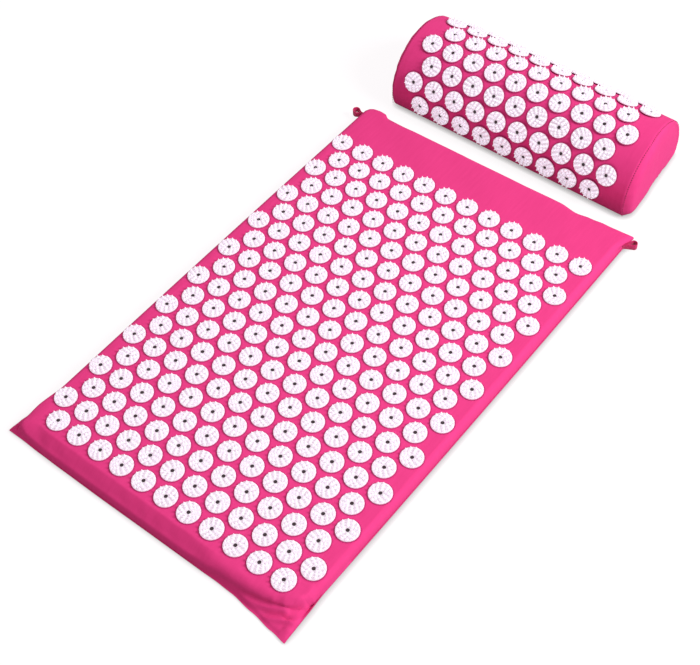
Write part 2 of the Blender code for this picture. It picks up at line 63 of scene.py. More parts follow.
CLOTH_MAP = "cloth_metres"
# The length that one band of a Wave texture takes up at a scale of 1
WAVE_SPAN = math.tau / 20
WHITE = (1.0, 1.0, 1.0, 1.0)
# How far the cut for a zip's pocket reaches past its wall
POCKET_CLEAR = 0.02
SOCKETS = {
    int: "NodeSocketInt",
    float: "NodeSocketFloat",
    bpy.types.Material: "NodeSocketMaterial",
}

# Sizes that the CAD source gives and that the pieces here have to meet
MAT_HALF_WIDTH = 0.1945
MAT_HALF_LENGTH = 0.312225
MAT_TOP = 0.0207
SIDE_BOW = 0.0012
DISC_DIAMETER = 0.026
DISC_PLATE = 0.0013
DISC_STAND = 0.0003
SEAM_HEIGHT = 0.0098
SLOT_HALF_HEIGHT = 0.0046
PILLOW_AXIS = Vector((-0.00595, 0.416325, 0.0188))
PILLOW_RADIUS = 0.0708
PILLOW_LENGTH = 0.3460
PILLOW_MIDDLE = np.array((0.0, (PILLOW_RADIUS - PILLOW_AXIS.z) / 2))
LOOP_X = 0.19457
LOOP_Y = 0.302725
MAT_ZIP_Y = 0.310475
MAT_ZIP_HALF = 0.1715
PILLOW_ZIP_Y = 0.484975
PILLOW_ZIP_HALF = 0.1330

# A curve's places, rising, and its heights, in millimetres unless it is a profile of shares
Curve = tuple[tuple[float, ...], tuple[float, ...]]


class Slot(Enum):
    """The record's material slots."""

    COVER = "cotton_cover"
    DISCS = "spiked_discs"
    TEETH = "zip_teeth"
    METAL = "zip_metal"


class Side(Enum):
    """The two ends of a piece along X."""

    LEFT = -1
    RIGHT = 1


def linear(colour: str) -> tuple[float, float, float, float]:
    """Turns an sRGB hex colour into the linear RGBA that shaders take.

    Args:
        colour: Six hex digits, with or without a leading #.

    Returns:
        Linear red, green, blue and an alpha of one.
    """
    digits = colour.lstrip("#")
    channels = [int(digits[place : place + 2], 16) / 255 for place in (0, 2, 4)]
    red, green, blue = (
        c / 12.92 if c <= 0.04045 else ((c + 0.055) / 1.055) ** 2.4 for c in channels
    )
    return red, green, blue, 1.0


def fill_inputs(
    tree: bpy.types.NodeTree, node: bpy.types.Node, inputs: dict[int | str, object]
) -> None:
    """Fills or links a node's inputs.

    Args:
        tree: The node's tree.
        node: The node.
        inputs: A value, an output socket or a node, which stands for its first output, for
            each input by its name or place.
    """
    for key, value in inputs.items():
        if isinstance(value, bpy.types.Node):
            value = value.outputs[0]
        if isinstance(value, bpy.types.NodeSocket):
            tree.links.new(value, node.inputs[key])
        else:
            node.inputs[key].default_value = value


def add_node(
    tree: bpy.types.NodeTree,
    kind: str,
    inputs: dict[int | str, object] | None = None,
    **settings: object,
) -> bpy.types.Node:
    """Adds a node with its settings, and fills or links its inputs.

    Args:
        tree: The node tree to add to.
        kind: The node's type name.
        inputs: A value, an output socket or a node for each input, by its name or place.
        **settings: Properties of the node.

    Returns:
        The new node.
    """
    node = tree.nodes.new(kind)
    for name, value in settings.items():
        setattr(node, name, value)
    fill_inputs(tree, node, inputs or {})
    return node


class Surface:
    """A material with a Principled shader, to which a finish adds its patterns."""

    def __init__(self, name: str) -> None:
        """Makes the material under its name.

        Args:
            name: The material's name.
        """
        self.material = bpy.data.materials.new(name)
        self.material.use_nodes = True
        self.tree = self.material.node_tree
        self.tree.nodes.clear()
        self.shader = add_node(self.tree, "ShaderNodeBsdfPrincipled")
        add_node(self.tree, "ShaderNodeOutputMaterial", {"Surface": self.shader})

    def dress(
        self,
        colour: str,
        shades: Sequence[tuple[object, str]],
        values: dict[str, object],
        relief: tuple[float, float, object] | None = None,
    ) -> bpy.types.Material:
        """Gives the surface its colours, relief and gloss.

        Args:
            colour: The main colour.
            shades: Each further colour, after the pattern that says how much of it shows.
            values: The shader's other inputs by name.
            relief: The relief's strength, its depth and its pattern, where there is one.

        Returns:
            The material.
        """
        tint = linear(colour)
        for pattern, shade in shades:
            inputs = {0: pattern, 6: tint, 7: linear(shade)}
            tint = add_node(self.tree, "ShaderNodeMix", inputs, data_type="RGBA").outputs[2]
        filled = {"Base Color": tint, **values}
        if relief:
            inputs = dict(zip(("Strength", "Distance", "Height"), relief))
            filled["Normal"] = add_node(self.tree, "ShaderNodeBump", inputs)
        fill_inputs(self.tree, self.shader, filled)
        return self.material


@dataclass(frozen=True)
class WovenCotton:
    """Plain-weave cotton, dyed hot pink and unfinished.

    The eye gets a matt cloth with a short bright nap, a fine over-and-under weave and faint
    lengthwise slubs. Shade is painted into the colour where the cloth is tucked in: an ambient
    occlusion node darkens it towards a deep plum wherever other surfaces are close. The threads
    are 0.45 mm apart on the real cloth and are drawn 0.9 mm apart here, because finer ones don't
    show in a picture of the whole mat.
    """

    name: str = "plain weave pink cotton"
    colour: str = "#EC448D"
    slub_colour: str = "#E23A82"
    # The deep plum towards which shade is painted where the cloth is tucked in
    painted_shade_colour: str = "#7A0038"
    nap_colour: str = "#FF8CBC"
    thread: float = 0.9 * MM
    weave_depth: float = 0.12 * MM
    slub_length: float = 35 * MM
    slub_width: float = 3.5 * MM
    slub_rise: float = 0.6
    roughness: float = 0.9
    gloss: float = 0.3
    sheen: float = 0.04
    sheen_roughness: float = 0.45
    # How far the ambient occlusion looks, and how strongly the painted shade darkens the cloth
    painted_shade_reach: float = 3 * MM
    painted_shade_depth: float = 0.75

    def make(self) -> bpy.types.Material:
        """Makes the cloth's look, whose weave follows the piece's UV map in metres.

        Returns:
            The material.
        """
        surface = Surface(self.name)
        tree = surface.tree
        place = add_node(tree, "ShaderNodeUVMap", uv_map=CLOTH_MAP)
        split = add_node(tree, "ShaderNodeSeparateXYZ", {0: place})
        waves = []
        for axis in (0, 1):
            inputs = {0: split.outputs[axis], 1: math.pi / self.thread}
            turn = add_node(tree, "ShaderNodeMath", inputs, operation="MULTIPLY")
            waves.append(add_node(tree, "ShaderNodeMath", {0: turn}, operation="SINE"))
        over = add_node(tree, "ShaderNodeMath", dict(enumerate(waves)), operation="MULTIPLY")
        threads = []
        for wave, operation in zip(waves, ("ADD", "SUBTRACT")):
            rise = add_node(tree, "ShaderNodeMath", {0: wave}, operation="ABSOLUTE")
            threads.append(add_node(tree, "ShaderNodeMath", {0: rise, 1: over}, operation=operation))
        upper = add_node(tree, "ShaderNodeMath", dict(enumerate(threads)), operation="MAXIMUM")
        weave = add_node(tree, "ShaderNodeMath", {0: upper, 1: 0.5}, operation="MULTIPLY")
        stretch = (1 / self.slub_width, 1 / self.slub_length, 1.0)
        scaled = add_node(tree, "ShaderNodeVectorMath", {0: place, 1: stretch}, operation="MULTIPLY")
        inputs = {"Vector": scaled, "Scale": 1.0, "Detail": 3.0, "Roughness": 0.6}
        slubs = add_node(tree, "ShaderNodeTexNoise", inputs)
        inputs = {0: slubs, 1: self.slub_rise, 2: weave}
        relief = add_node(tree, "ShaderNodeMath", inputs, operation="MULTIPLY_ADD")
        # Painted shade: the cloth's colour is darkened towards a deep plum where ambient occlusion finds
        # other surfaces within a few millimetres
        inputs = {"Distance": self.painted_shade_reach}
        open_share = add_node(tree, "ShaderNodeAmbientOcclusion", inputs, samples=8).outputs["AO"]
        inputs = {0: open_share, 1: -self.painted_shade_depth, 2: self.painted_shade_depth}
        painted_shade = add_node(tree, "ShaderNodeMath", inputs, operation="MULTIPLY_ADD")
        values = {
            "Roughness": self.roughness,
            "Specular IOR Level": self.gloss,
            "Sheen Weight": self.sheen,
            "Sheen Roughness": self.sheen_roughness,
            "Sheen Tint": linear(self.nap_colour),
        }
        shades = [(slubs, self.slub_colour), (painted_shade, self.painted_shade_colour)]
        return surface.dress(self.colour, shades, values, (0.5, self.weave_depth, relief))


@dataclass(frozen=True)
class MouldedPlastic:
    """White ABS, injection-moulded in a polished tool.

    The eye gets a nearly shadeless white with a breath of lavender and small soft highlights.
    Light passes a few millimetres into the thin spikes, and a faint painted glow of lavender-white
    emission also lifts their shaded sides, so the plastic glows a little under any lamp.
    """

    name: str = "moulded white ABS"
    colour: str = "#D8D3DB"
    flow_colour: str = "#D0CAD5"
    # Colour of the painted glow that the plastic gives off
    painted_glow_colour: str = "#FBF6FF"
    scatter_share: float = 0.85
    scatter_reach: float = 7 * MM
    flow_width: float = 9 * MM
    grain: float = 0.6 * MM
    grain_depth: float = 0.04 * MM
    roughness: float = 0.42
    # Strength of the painted glow that the plastic gives off
    painted_glow_strength: float = 0.305

    def make(self) -> bpy.types.Material:
        """Makes the plastic's look, clouded faintly as moulded parts are.

        Returns:
            The material.
        """
        surface = Surface(self.name)
        place = add_node(surface.tree, "ShaderNodeTexCoord").outputs["Object"]
        inputs = {"Vector": place, "Scale": 1 / self.flow_width, "Detail": 2.0}
        clouds = add_node(surface.tree, "ShaderNodeTexNoise", inputs).outputs["Fac"]
        inputs = {"Vector": place, "Scale": 1 / self.grain}
        grain = add_node(surface.tree, "ShaderNodeTexNoise", inputs).outputs["Fac"]
        values = {
            "Roughness": self.roughness,
            "Subsurface Weight": self.scatter_share,
            "Subsurface Radius": (1.0, 0.9, 1.0),
            "Subsurface Scale": self.scatter_reach,
            # Painted light: a faint lavender-white emission makes the plastic glow, which flattens the
            # shade on its spikes
            "Emission Color": linear(self.painted_glow_colour),
            "Emission Strength": self.painted_glow_strength,
        }
        return surface.dress(
            self.colour, [(clouds, self.flow_colour)], values, (0.15, self.grain_depth, grain)
        )


@dataclass(frozen=True)
class PaintedShade:
    """Dark plum sheets that paint shade: a dot in a disc's centre hole and a ring round its rim.

    The eye gets a dark wet-looking plum dot where a plain hole would lie in shade, and a thin
    line a shade deeper than the cloth round the rim, a painted contact shadow.
    """

    name: str = "painted hole shade"
    colour: str = "#1C0810"
    rim_colour: str = "#2E101E"
    unevenness: float = 2 * MM
    roughness: float = 0.45

    def make(self) -> bpy.types.Material:
        """Makes the look of the painted shade, a little uneven in depth of colour.

        Returns:
            The material.
        """
        surface = Surface(self.name)
        place = add_node(surface.tree, "ShaderNodeTexCoord").outputs["Object"]
        inputs = {"Vector": place, "Scale": 1 / self.unevenness}
        uneven = add_node(surface.tree, "ShaderNodeTexNoise", inputs).outputs["Fac"]
        return surface.dress(self.colour, [(uneven, self.rim_colour)], {"Roughness": self.roughness})


@dataclass(frozen=True)
class WovenTape:
    """Twill ribbon and zip tape, woven narrow from dyed polyester.

    The eye gets a slightly shiny band with fine slanting ribs, drawn 1 mm apart.
    """

    name: str = "twill polyester tape"
    colour: str = "#D81F6B"
    rib_colour: str = "#B81557"
    rib: float = 1.0 * MM
    rib_depth: float = 0.1 * MM
    roughness: float = 0.6
    sheen: float = 0.15

    def make(self) -> bpy.types.Material:
        """Makes the tape's look, ribbed across the piece's UV map in metres.

        Returns:
            The material.
        """
        surface = Surface(self.name)
        tree = surface.tree
        place = add_node(tree, "ShaderNodeUVMap", uv_map=CLOTH_MAP)
        split = add_node(tree, "ShaderNodeSeparateXYZ", {0: place}).outputs
        slant = add_node(tree, "ShaderNodeMath", {0: split[0], 1: split[1]}, operation="ADD")
        inputs = {0: slant, 1: math.tau / self.rib}
        turn = add_node(tree, "ShaderNodeMath", inputs, operation="MULTIPLY")
        wave = add_node(tree, "ShaderNodeMath", {0: turn}, operation="SINE")
        inputs = {0: wave, 1: 0.5, 2: 0.5}
        height = add_node(tree, "ShaderNodeMath", inputs, operation="MULTIPLY_ADD")
        values = {"Roughness": self.roughness, "Sheen Weight": self.sheen}
        return surface.dress(
            self.rib_colour, [(height, self.colour)], values, (0.6, self.rib_depth, height)
        )


@dataclass(frozen=True)
class SeamShadeThread:
    """Dark twisted stitches along a seam: a thin dark line of painted shade that stands for the groove's
    shadow.
    """

    name: str = "dark seam shade thread"
    colour: str = "#8A0A40"
    ply_colour: str = "#A8144F"
    ply: float = 0.35 * math.tau * MM
    roughness: float = 0.55

    def make(self) -> bpy.types.Material:
        """Makes the thread's look, banded as twisted plies are.

        Returns:
            The material.
        """
        surface = Surface(self.name)
        place = add_node(surface.tree, "ShaderNodeTexCoord").outputs["Object"]
        inputs = {"Vector": place, "Scale": WAVE_SPAN / self.ply}
        twist = add_node(surface.tree, "ShaderNodeTexWave", inputs).outputs["Fac"]
        return surface.dress(self.colour, [(twist, self.ply_colour)], {"Roughness": self.roughness})


@dataclass(frozen=True)
class SpunNylon:
    """Dyed nylon zip coil. The eye gets a smooth, slightly see-through satin pink."""

    name: str = "dyed nylon coil"
    colour: str = "#D9246F"
    worn_colour: str = "#E65A94"
    wear: float = 8 * MM
    scatter_share: float = 0.2
    scatter_reach: float = 1.0 * MM
    roughness: float = 0.4

    def make(self) -> bpy.types.Material:
        """Makes the coil's look, paler where the slider has polished it.

        Returns:
            The material.
        """
        surface = Surface(self.name)
        place = add_node(surface.tree, "ShaderNodeTexCoord").outputs["Object"]
        inputs = {"Vector": place, "Scale": 1 / self.wear}
        worn = add_node(surface.tree, "ShaderNodeTexNoise", inputs).outputs["Fac"]
        values = {
            "Roughness": self.roughness,
            "Subsurface Weight": self.scatter_share,
            "Subsurface Scale": self.scatter_reach,
        }
        return surface.dress(self.colour, [(worn, self.worn_colour)], values)


@dataclass(frozen=True)
class NickelPlate:
    """Nickel-plated zinc casting, barrel-polished. The eye gets a warm silver with fine rub marks."""

    name: str = "nickel-plated zinc"
    colour: str = "#CFCBC4"
    dull_colour: str = "#B5B0A8"
    scuff: float = 1.5 * MM
    scuff_depth: float = 0.03 * MM
    polish: float = 0.18
    scuff_roughness: float = 0.2

    def make(self) -> bpy.types.Material:
        """Makes the metal's look, with the scuffs of tumbling and use.

        Returns:
            The material.
        """
        surface = Surface(self.name)
        place = add_node(surface.tree, "ShaderNodeTexCoord").outputs["Object"]
        inputs = {"Vector": place, "Scale": 1 / self.scuff, "Detail": 4.0}
        scuffs = add_node(surface.tree, "ShaderNodeTexNoise", inputs).outputs["Fac"]
        inputs = {0: scuffs, 1: self.scuff_roughness, 2: self.polish}
        rough = add_node(surface.tree, "ShaderNodeMath", inputs, operation="MULTIPLY_ADD")
        return surface.dress(
            self.colour,
            [(scuffs, self.dull_colour)],
            {"Roughness": rough, "Metallic": 1.0},
            (0.2, self.scuff_depth, scuffs),
        )


def new_object(name: str, data: bpy.types.ID) -> bpy.types.Object:
    """Makes an object from its data and links it into the scene.

    Args:
        name: The object's name.
        data: Its mesh, lamp or camera.

    Returns:
        The object.
    """
    made = bpy.data.objects.new(name, data)
    bpy.context.scene.collection.objects.link(made)
    return made


def shade(data: bpy.types.Mesh, degrees: float) -> None:
    """Shades a mesh smooth, except at the edges that turn by more than an angle in degrees."""
    data.shade_smooth()
    data.set_sharp_from_angle(angle=math.radians(degrees))


def add_piece(name: str, data: bpy.types.Mesh, *finishes: bpy.types.Material) -> bpy.types.Object:
    """Puts a mesh into the scene as a piece at the origin.

    Args:
        name: The piece's name.
        data: Its mesh, already in place.
        *finishes: Its materials, where the mesh doesn't bring its own.

    Returns:
        The piece.
    """
    piece = new_object(name, data)
    data.name = name
    for finish in finishes:
        data.materials.append(finish)
    return piece


def settle(
    piece: bpy.types.Object, body: str, replaced: Sequence[str] = ()
) -> bpy.types.Object:
    """Hangs a finished piece on its body and says what it stands for.

    Args:
        piece: The piece, with no live modifiers.
        body: The CAD body that it moves with.
        replaced: The CAD nodes that it stands for.

    Returns:
        The piece.
    """
    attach(piece, body)
    if replaced:
        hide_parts(*replaced)
    LOG.info("%s: %d faces on %s", piece.name, len(piece.data.polygons), body)
    return piece


def new_tree(
    name: str, values: dict[str, object]
) -> tuple[bpy.types.NodeTree, bpy.types.NodeOutputs, bpy.types.Node]:
    """Makes an empty Geometry Nodes tree with a named input for each value.

    Args:
        name: The tree's name.
        values: The inputs' values by name, whose kinds say what sockets they need.

    Returns:
        The tree, its inputs and its output node.
    """
    tree = bpy.data.node_groups.new(name, "GeometryNodeTree")
    tree.interface.new_socket("Geometry", in_out="INPUT", socket_type="NodeSocketGeometry")
    for label, value in values.items():
        tree.interface.new_socket(label, in_out="INPUT", socket_type=SOCKETS[type(value)])
    tree.interface.new_socket("Geometry", in_out="OUTPUT", socket_type="NodeSocketGeometry")
    return tree, add_node(tree, "NodeGroupInput").outputs, add_node(tree, "NodeGroupOutput")


def grow(
    tree: bpy.types.NodeTree,
    values: dict[str, object],
    places: Sequence[Vector],
    turns: Sequence[Euler],
) -> bpy.types.Mesh:
    """Runs a Geometry Nodes tree on loose points and returns the plain mesh that it makes.

    Args:
        tree: The tree, whose inputs are found by name and set by identifier.
        values: A value for each named input.
        places: Where the points are.
        turns: The turn of what is set on each point.

    Returns:
        The resulting mesh, free of instances and modifiers.
    """
    points = bpy.data.meshes.new("points")
    points.from_pydata([tuple(place) for place in places], [], [])
    stored = points.attributes.new("turn", "FLOAT_VECTOR", "POINT")
    stored.data.foreach_set("vector", np.array([tuple(turn) for turn in turns]).ravel())
    guide = new_object("guide", points)
    modifier = guide.modifiers.new(tree.name, "NODES")
    modifier.node_group = tree
    for item in tree.interface.items_tree:
        if item.name in values:
            modifier[item.identifier] = values[item.name]
    graph = bpy.context.evaluated_depsgraph_get()
    data = bpy.data.meshes.new_from_object(guide.evaluated_get(graph))
    guide.modifiers.remove(modifier)
    bpy.data.objects.remove(guide, do_unlink=True)
    bpy.data.meshes.remove(points)
    return data


def repeat(
    tree: bpy.types.NodeTree, points: object, shape: bpy.types.Node, turned: bool
) -> bpy.types.Node:
    """Sets a copy of a shape on every point and makes the copies real.

    Args:
        tree: The tree to add to.
        points: The socket or the node that gives the points.
        shape: The node that gives the shape.
        turned: Whether the points carry a turn each.

    Returns:
        The node that gives the copies.
    """
    inputs = {"Points": points, "Instance": shape}
    if turned:
        inputs["Rotation"] = add_node(
            tree, "GeometryNodeInputNamedAttribute", {"Name": "turn"}, data_type="FLOAT_VECTOR"
        )
    spread = add_node(tree, "GeometryNodeInstanceOnPoints", inputs)
    return add_node(tree, "GeometryNodeRealizeInstances", {0: spread})


@dataclass
class SpikedDiscs:
    """The plastic discs: a round plate with a centre hole, rings of spikes, and dark sheets that paint
    shade in the hole and a contact shadow round the rim.
    """

    name: str
    body: str
    replaced: list[str]
    places: list[Vector]
    turns: list[Euler]
    plastic: bpy.types.Material
    hole_shade: bpy.types.Material
    rim_shadow: bpy.types.Material
    hole_radius: float = 0.0022
    hole_shade_level: float = 0.0010
    hole_shade_overlap: float = 0.0001
    hole_shade_sides: int = 10
    # Size of the dark ring under the rim that paints each disc's contact shadow
    rim_shadow_radius: float = 0.0141
    rim_shadow_height: float = 0.0003
    spike_rise: float = 0.0041
    spike_radius: float = 0.0017
    spike_tip: float = 0.0003
    spike_sink: float = 0.0002
    rings: tuple[tuple[int, float], ...] = ((12, 0.0112), (9, 0.0081), (6, 0.0052))
    plate_sides: int = 24
    spike_sides: int = 6
    smooth_below: float = 65

    def tree(self, values: dict[str, object]) -> bpy.types.NodeTree:
        """Builds the tree that makes one disc and sets a copy of it on every point.

        Args:
            values: The values of the tree's inputs by name.

        Returns:
            The tree.
        """
        tree, size, out = new_tree("discs on points", values)
        parts = [self.plate(tree, size)]
        parts += [self.spike_ring(tree, size, place) for place in range(len(self.rings))]
        plastic = add_node(tree, "GeometryNodeJoinGeometry")
        for part in reversed(parts):
            tree.links.new(part.outputs[0], plastic.inputs[0])
        # Painted shade: a dark drum sits in the centre hole, where a plain hole would lie in shade, and a
        # dark ring lies under the rim as a painted contact shadow
        inputs = {0: size["Hole Radius"], 1: self.hole_shade_overlap}
        hole_shade_radius = add_node(tree, "ShaderNodeMath", inputs, operation="ADD")
        shapes = {}
        for finish, sides, radius, rise in (
            ("Rim Shadow", self.plate_sides, self.rim_shadow_radius, -self.rim_shadow_height),
            ("Hole Shade", self.hole_shade_sides, hole_shade_radius, self.hole_shade_level),
        ):
            inputs = {"Vertices": sides, "Radius": radius, "Depth": abs(rise)}
            drum = add_node(tree, "GeometryNodeMeshCylinder", inputs)
            inputs = {0: drum, "Translation": (0.0, 0.0, rise / 2)}
            shapes[finish] = add_node(tree, "GeometryNodeTransform", inputs)
        shapes["Plastic"] = plastic
        disc = add_node(tree, "GeometryNodeJoinGeometry")
        for finish, shape in shapes.items():
            inputs = {0: shape, "Material": size[finish]}
            finished = add_node(tree, "GeometryNodeSetMaterial", inputs)
            tree.links.new(finished.outputs[0], disc.inputs[0])
        real = repeat(tree, size["Geometry"], disc, turned=True)
        tree.links.new(real.outputs[0], out.inputs[0])
        return tree

    def plate(self, tree: bpy.types.NodeTree, size: bpy.types.NodeOutputs) -> bpy.types.Node:
        """Sweeps a rectangle round the disc, which leaves the hole open.

        Args:
            tree: The tree to add to.
            size: The tree's named inputs.

        Returns:
            The node that gives the plate.
        """
        radii = {0: size["Disc Radius"], 1: size["Hole Radius"]}
        both = add_node(tree, "ShaderNodeMath", radii, operation="ADD")
        middle = add_node(tree, "ShaderNodeMath", {0: both, 1: 0.5}, operation="MULTIPLY")
        width = add_node(tree, "ShaderNodeMath", radii, operation="SUBTRACT")
        inputs = {"Width": width, "Height": size["Plate"]}
        section = add_node(tree, "GeometryNodeCurvePrimitiveQuadrilateral", inputs)
        inputs = {"Resolution": self.plate_sides, "Radius": middle}
        line = add_node(tree, "GeometryNodeCurvePrimitiveCircle", inputs)
        inputs = {"Curve": line, "Profile Curve": section}
        swept = add_node(tree, "GeometryNodeCurveToMesh", inputs)
        half = add_node(tree, "ShaderNodeMath", {0: size["Plate"], 1: 0.5}, operation="MULTIPLY")
        lift = add_node(tree, "ShaderNodeCombineXYZ", {2: half})
        return add_node(tree, "GeometryNodeTransform", {0: swept, "Translation": lift})

    def spike_ring(
        self, tree: bpy.types.NodeTree, size: bpy.types.NodeOutputs, place: int
    ) -> bpy.types.Node:
        """Sets a ring of pointed cones on the plate.

        Args:
            tree: The tree to add to.
            size: The tree's named inputs.
            place: The ring's number from outside, which staggers it against the last.

        Returns:
            The node that gives the ring.
        """
        count, radius = self.rings[place]
        ring = add_node(tree, "GeometryNodeMeshCircle", {"Vertices": count, "Radius": radius})
        inputs = {
            "Vertices": self.spike_sides,
            "Radius Top": self.spike_tip,
            "Radius Bottom": size["Spike Radius"],
            "Depth": size["Spike Rise"],
        }
        spike = add_node(tree, "GeometryNodeMeshCone", inputs)
        spread = add_node(tree, "GeometryNodeInstanceOnPoints", {"Points": ring, "Instance": spike})
        inputs = {0: size["Plate"], 1: self.spike_sink}
        level = add_node(tree, "ShaderNodeMath", inputs, operation="SUBTRACT")
        lift = add_node(tree, "ShaderNodeCombineXYZ", {2: level})
        turn = (0.0, 0.0, place * math.pi / count)
        inputs = {0: spread, "Translation": lift, "Rotation": turn}
        return add_node(tree, "GeometryNodeTransform", inputs)

    def build(self) -> bpy.types.Object:
        """Makes the discs as one piece that stands for the CAD's rows.

        Returns:
            The piece.
        """
        values = {
            "Disc Radius": DISC_DIAMETER / 2,
            "Plate": DISC_PLATE,
            "Hole Radius": self.hole_radius,
            "Spike Rise": self.spike_rise,
            "Spike Radius": self.spike_radius,
            "Plastic": self.plastic,
            "Hole Shade": self.hole_shade,
            "Rim Shadow": self.rim_shadow,
        }
        data = grow(self.tree(values), values, self.places, self.turns)
        shade(data, self.smooth_below)
        return settle(add_piece(self.name, data), self.body, self.replaced)


def smooth_step(values: np.ndarray, low: float, high: float) -> np.ndarray:
    """Rises smoothly from 0 at low to 1 at high."""
    share = np.clip((values - low) / (high - low), 0.0, 1.0)
    return share * share * (3 - 2 * share)


def round_interp(values: np.ndarray, curve: Curve) -> np.ndarray:
    """Interpolates between given points with a level tangent at each of them.

    Args:
        values: Where to read the curve, in metres.
        curve: The given points' places, rising, and their heights, in millimetres.

    Returns:
        The curve's heights in metres.
    """
    xs, ys = np.array(curve[0]) * MM, np.array(curve[1]) * MM
    low = np.clip(np.searchsorted(xs, values) - 1, 0, len(xs) - 2)
    share = np.clip((values - xs[low]) / (xs[low + 1] - xs[low]), 0.0, 1.0)
    return ys[low] + (ys[low + 1] - ys[low]) * share * share * (3 - 2 * share)


def to_segment(
    points: np.ndarray, start: np.ndarray, end: np.ndarray
) -> tuple[np.ndarray, np.ndarray]:
    """Finds where plan points lie against a straight segment.

    Args:
        points: An array of (x, y) rows.
        start: The segment's first end.
        end: Its other end.

    Returns:
        The share along the segment of the spot nearest to each point, and its distance.
    """
    side = end - start
    along = np.clip((points - start) @ side / (side @ side), 0.0, 1.0)
    gap = points - start - along[:, None] * side
    return along, np.hypot(gap[:, 0], gap[:, 1])


def inside_distance(points: np.ndarray, outline: np.ndarray) -> np.ndarray:
    """Distance of plan points from a closed outline, positive inside it.

    Args:
        points: An array of (x, y) rows.
        outline: The outline's corners in order, as (x, y) rows.

    Returns:
        One distance for each point.
    """
    best = np.full(len(points), 1e9)
    crossings = np.zeros(len(points), int)
    for start, end in zip(outline, np.roll(outline, -1, axis=0)):
        side = end - start
        best = np.minimum(best, to_segment(points, start, end)[1])
        spans = (start[1] > points[:, 1]) != (end[1] > points[:, 1])
        if side[1]:
            reach = start[0] + (points[:, 1] - start[1]) / side[1] * side[0]
            crossings += spans & (points[:, 0] < reach)
    return np.where(crossings % 2 == 1, best, -best)


def unwrap_flat(data: bpy.types.Mesh) -> None:
    """Gives a mesh a UV map in metres, each face laid on the plane that it faces most.

    Args:
        data: The mesh.
    """
    layer = data.uv_layers.new(name=CLOTH_MAP)
    for face in data.polygons:
        facing = max(range(3), key=lambda axis: abs(face.normal[axis]))
        across, along = (axis for axis in range(3) if axis != facing)
        for corner in face.loop_indices:
            point = data.vertices[data.loops[corner].vertex_index].co
            layer.data[corner].uv = (point[across], point[along])


def unwrap_round(data: bpy.types.Mesh, axis: Vector, radius: float) -> None:
    """Gives a mesh a UV map in metres that runs round an axis along X, and lies flat on its ends.

    Args:
        data: The mesh.
        axis: A point on the axis.
        radius: The radius at which the map keeps its scale.
    """
    layer = data.uv_layers.new(name=CLOTH_MAP)
    for face in data.polygons:
        flat = abs(face.normal.x) > 0.7 or face.normal.z < -0.8
        middle = math.atan2(face.center.y - axis.y, face.center.z - axis.z)
        for corner in face.loop_indices:
            point = data.vertices[data.loops[corner].vertex_index].co
            if abs(face.normal.x) > 0.7:
                place = (point.y, point.z)
            elif flat:
                place = (point.x, point.y)
            else:
                turn = math.atan2(point.y - axis.y, point.z - axis.z)
                turn += math.tau * round((middle - turn) / math.tau)
                place = (point.x, turn * radius)
            layer.data[corner].uv = place


def carve(data: bpy.types.Mesh, name: str, low: Sequence[float], high: Sequence[float]) -> bpy.types.Mesh:
    """Cuts a box-shaped pocket into a closed mesh.

    Args:
        data: The closed mesh, removed afterwards.
        name: The new mesh's name.
        low: The box's lowest corner.
        high: The box's highest corner.

    Returns:
        The mesh with its pocket.
    """
    block = bpy.data.meshes.new("pocket")
    bm = bmesh.new()
    bmesh.ops.create_cube(bm, size=1)
    size = Vector(high) - Vector(low)
    bmesh.ops.scale(bm, vec=size, verts=bm.verts)
    bmesh.ops.translate(bm, vec=(Vector(high) + Vector(low)) / 2, verts=bm.verts)
    bm.to_mesh(block)
    bm.free()
    whole, cutter = new_object("whole", data), new_object("pocket", block)
    cut = whole.modifiers.new("pocket", "BOOLEAN")
    cut.operation = "DIFFERENCE"
    cut.object = cutter
    cut.solver = "EXACT"
    graph = bpy.context.evaluated_depsgraph_get()
    made = bpy.data.meshes.new_from_object(whole.evaluated_get(graph))
    made.name = name
    for thing in (whole, cutter):
        bpy.data.objects.remove(thing, do_unlink=True)
    for old in (data, block):
        bpy.data.meshes.remove(old)
    return made


def mesh_of(name: str, points: np.ndarray, faces: Sequence[Sequence[int]]) -> bpy.types.Mesh:
    """Makes a smooth-shaded mesh whose closed surface faces outwards.

    Args:
        name: The mesh's name.
        points: Its (x, y, z) rows.
        faces: The corners of each face.

    Returns:
        The mesh.
    """
    data = bpy.data.meshes.new(name)
    data.from_pydata(points.tolist(), [], faces)
    bm = bmesh.new()
    bm.from_mesh(data)
    bmesh.ops.recalc_face_normals(bm, faces=bm.faces)
    bm.to_mesh(data)
    bm.free()
    data.shade_smooth()
    return data


@dataclass
class Fold:
    """A crease in a cover: a ridge, or a valley where its height is negative, along a line.

    All its numbers are in millimetres.
    """

    points: tuple[tuple[float, float], ...]
    height: float
    width: float

    def lift(self, plan: np.ndarray) -> np.ndarray:
        """Finds how far this fold raises the cloth.

        Args:
            plan: The plan points, as (x, y) rows.

        Returns:
            The rise at each point, in metres.
        """
        line = np.array(self.points) * MM
        best = np.full(len(plan), 1e9)
        place = np.zeros(len(plan))
        count = len(line) - 1
        for step in range(count):
            along, reach = to_segment(plan, line[step], line[step + 1])
            place = np.where(reach < best, (step + along) / count, place)
            best = np.minimum(best, reach)
        taper = np.sin(np.pi * np.clip(place, 0.0, 1.0)) ** 0.6
        return self.height * MM * np.exp(-((best / (self.width * MM)) ** 2)) * taper


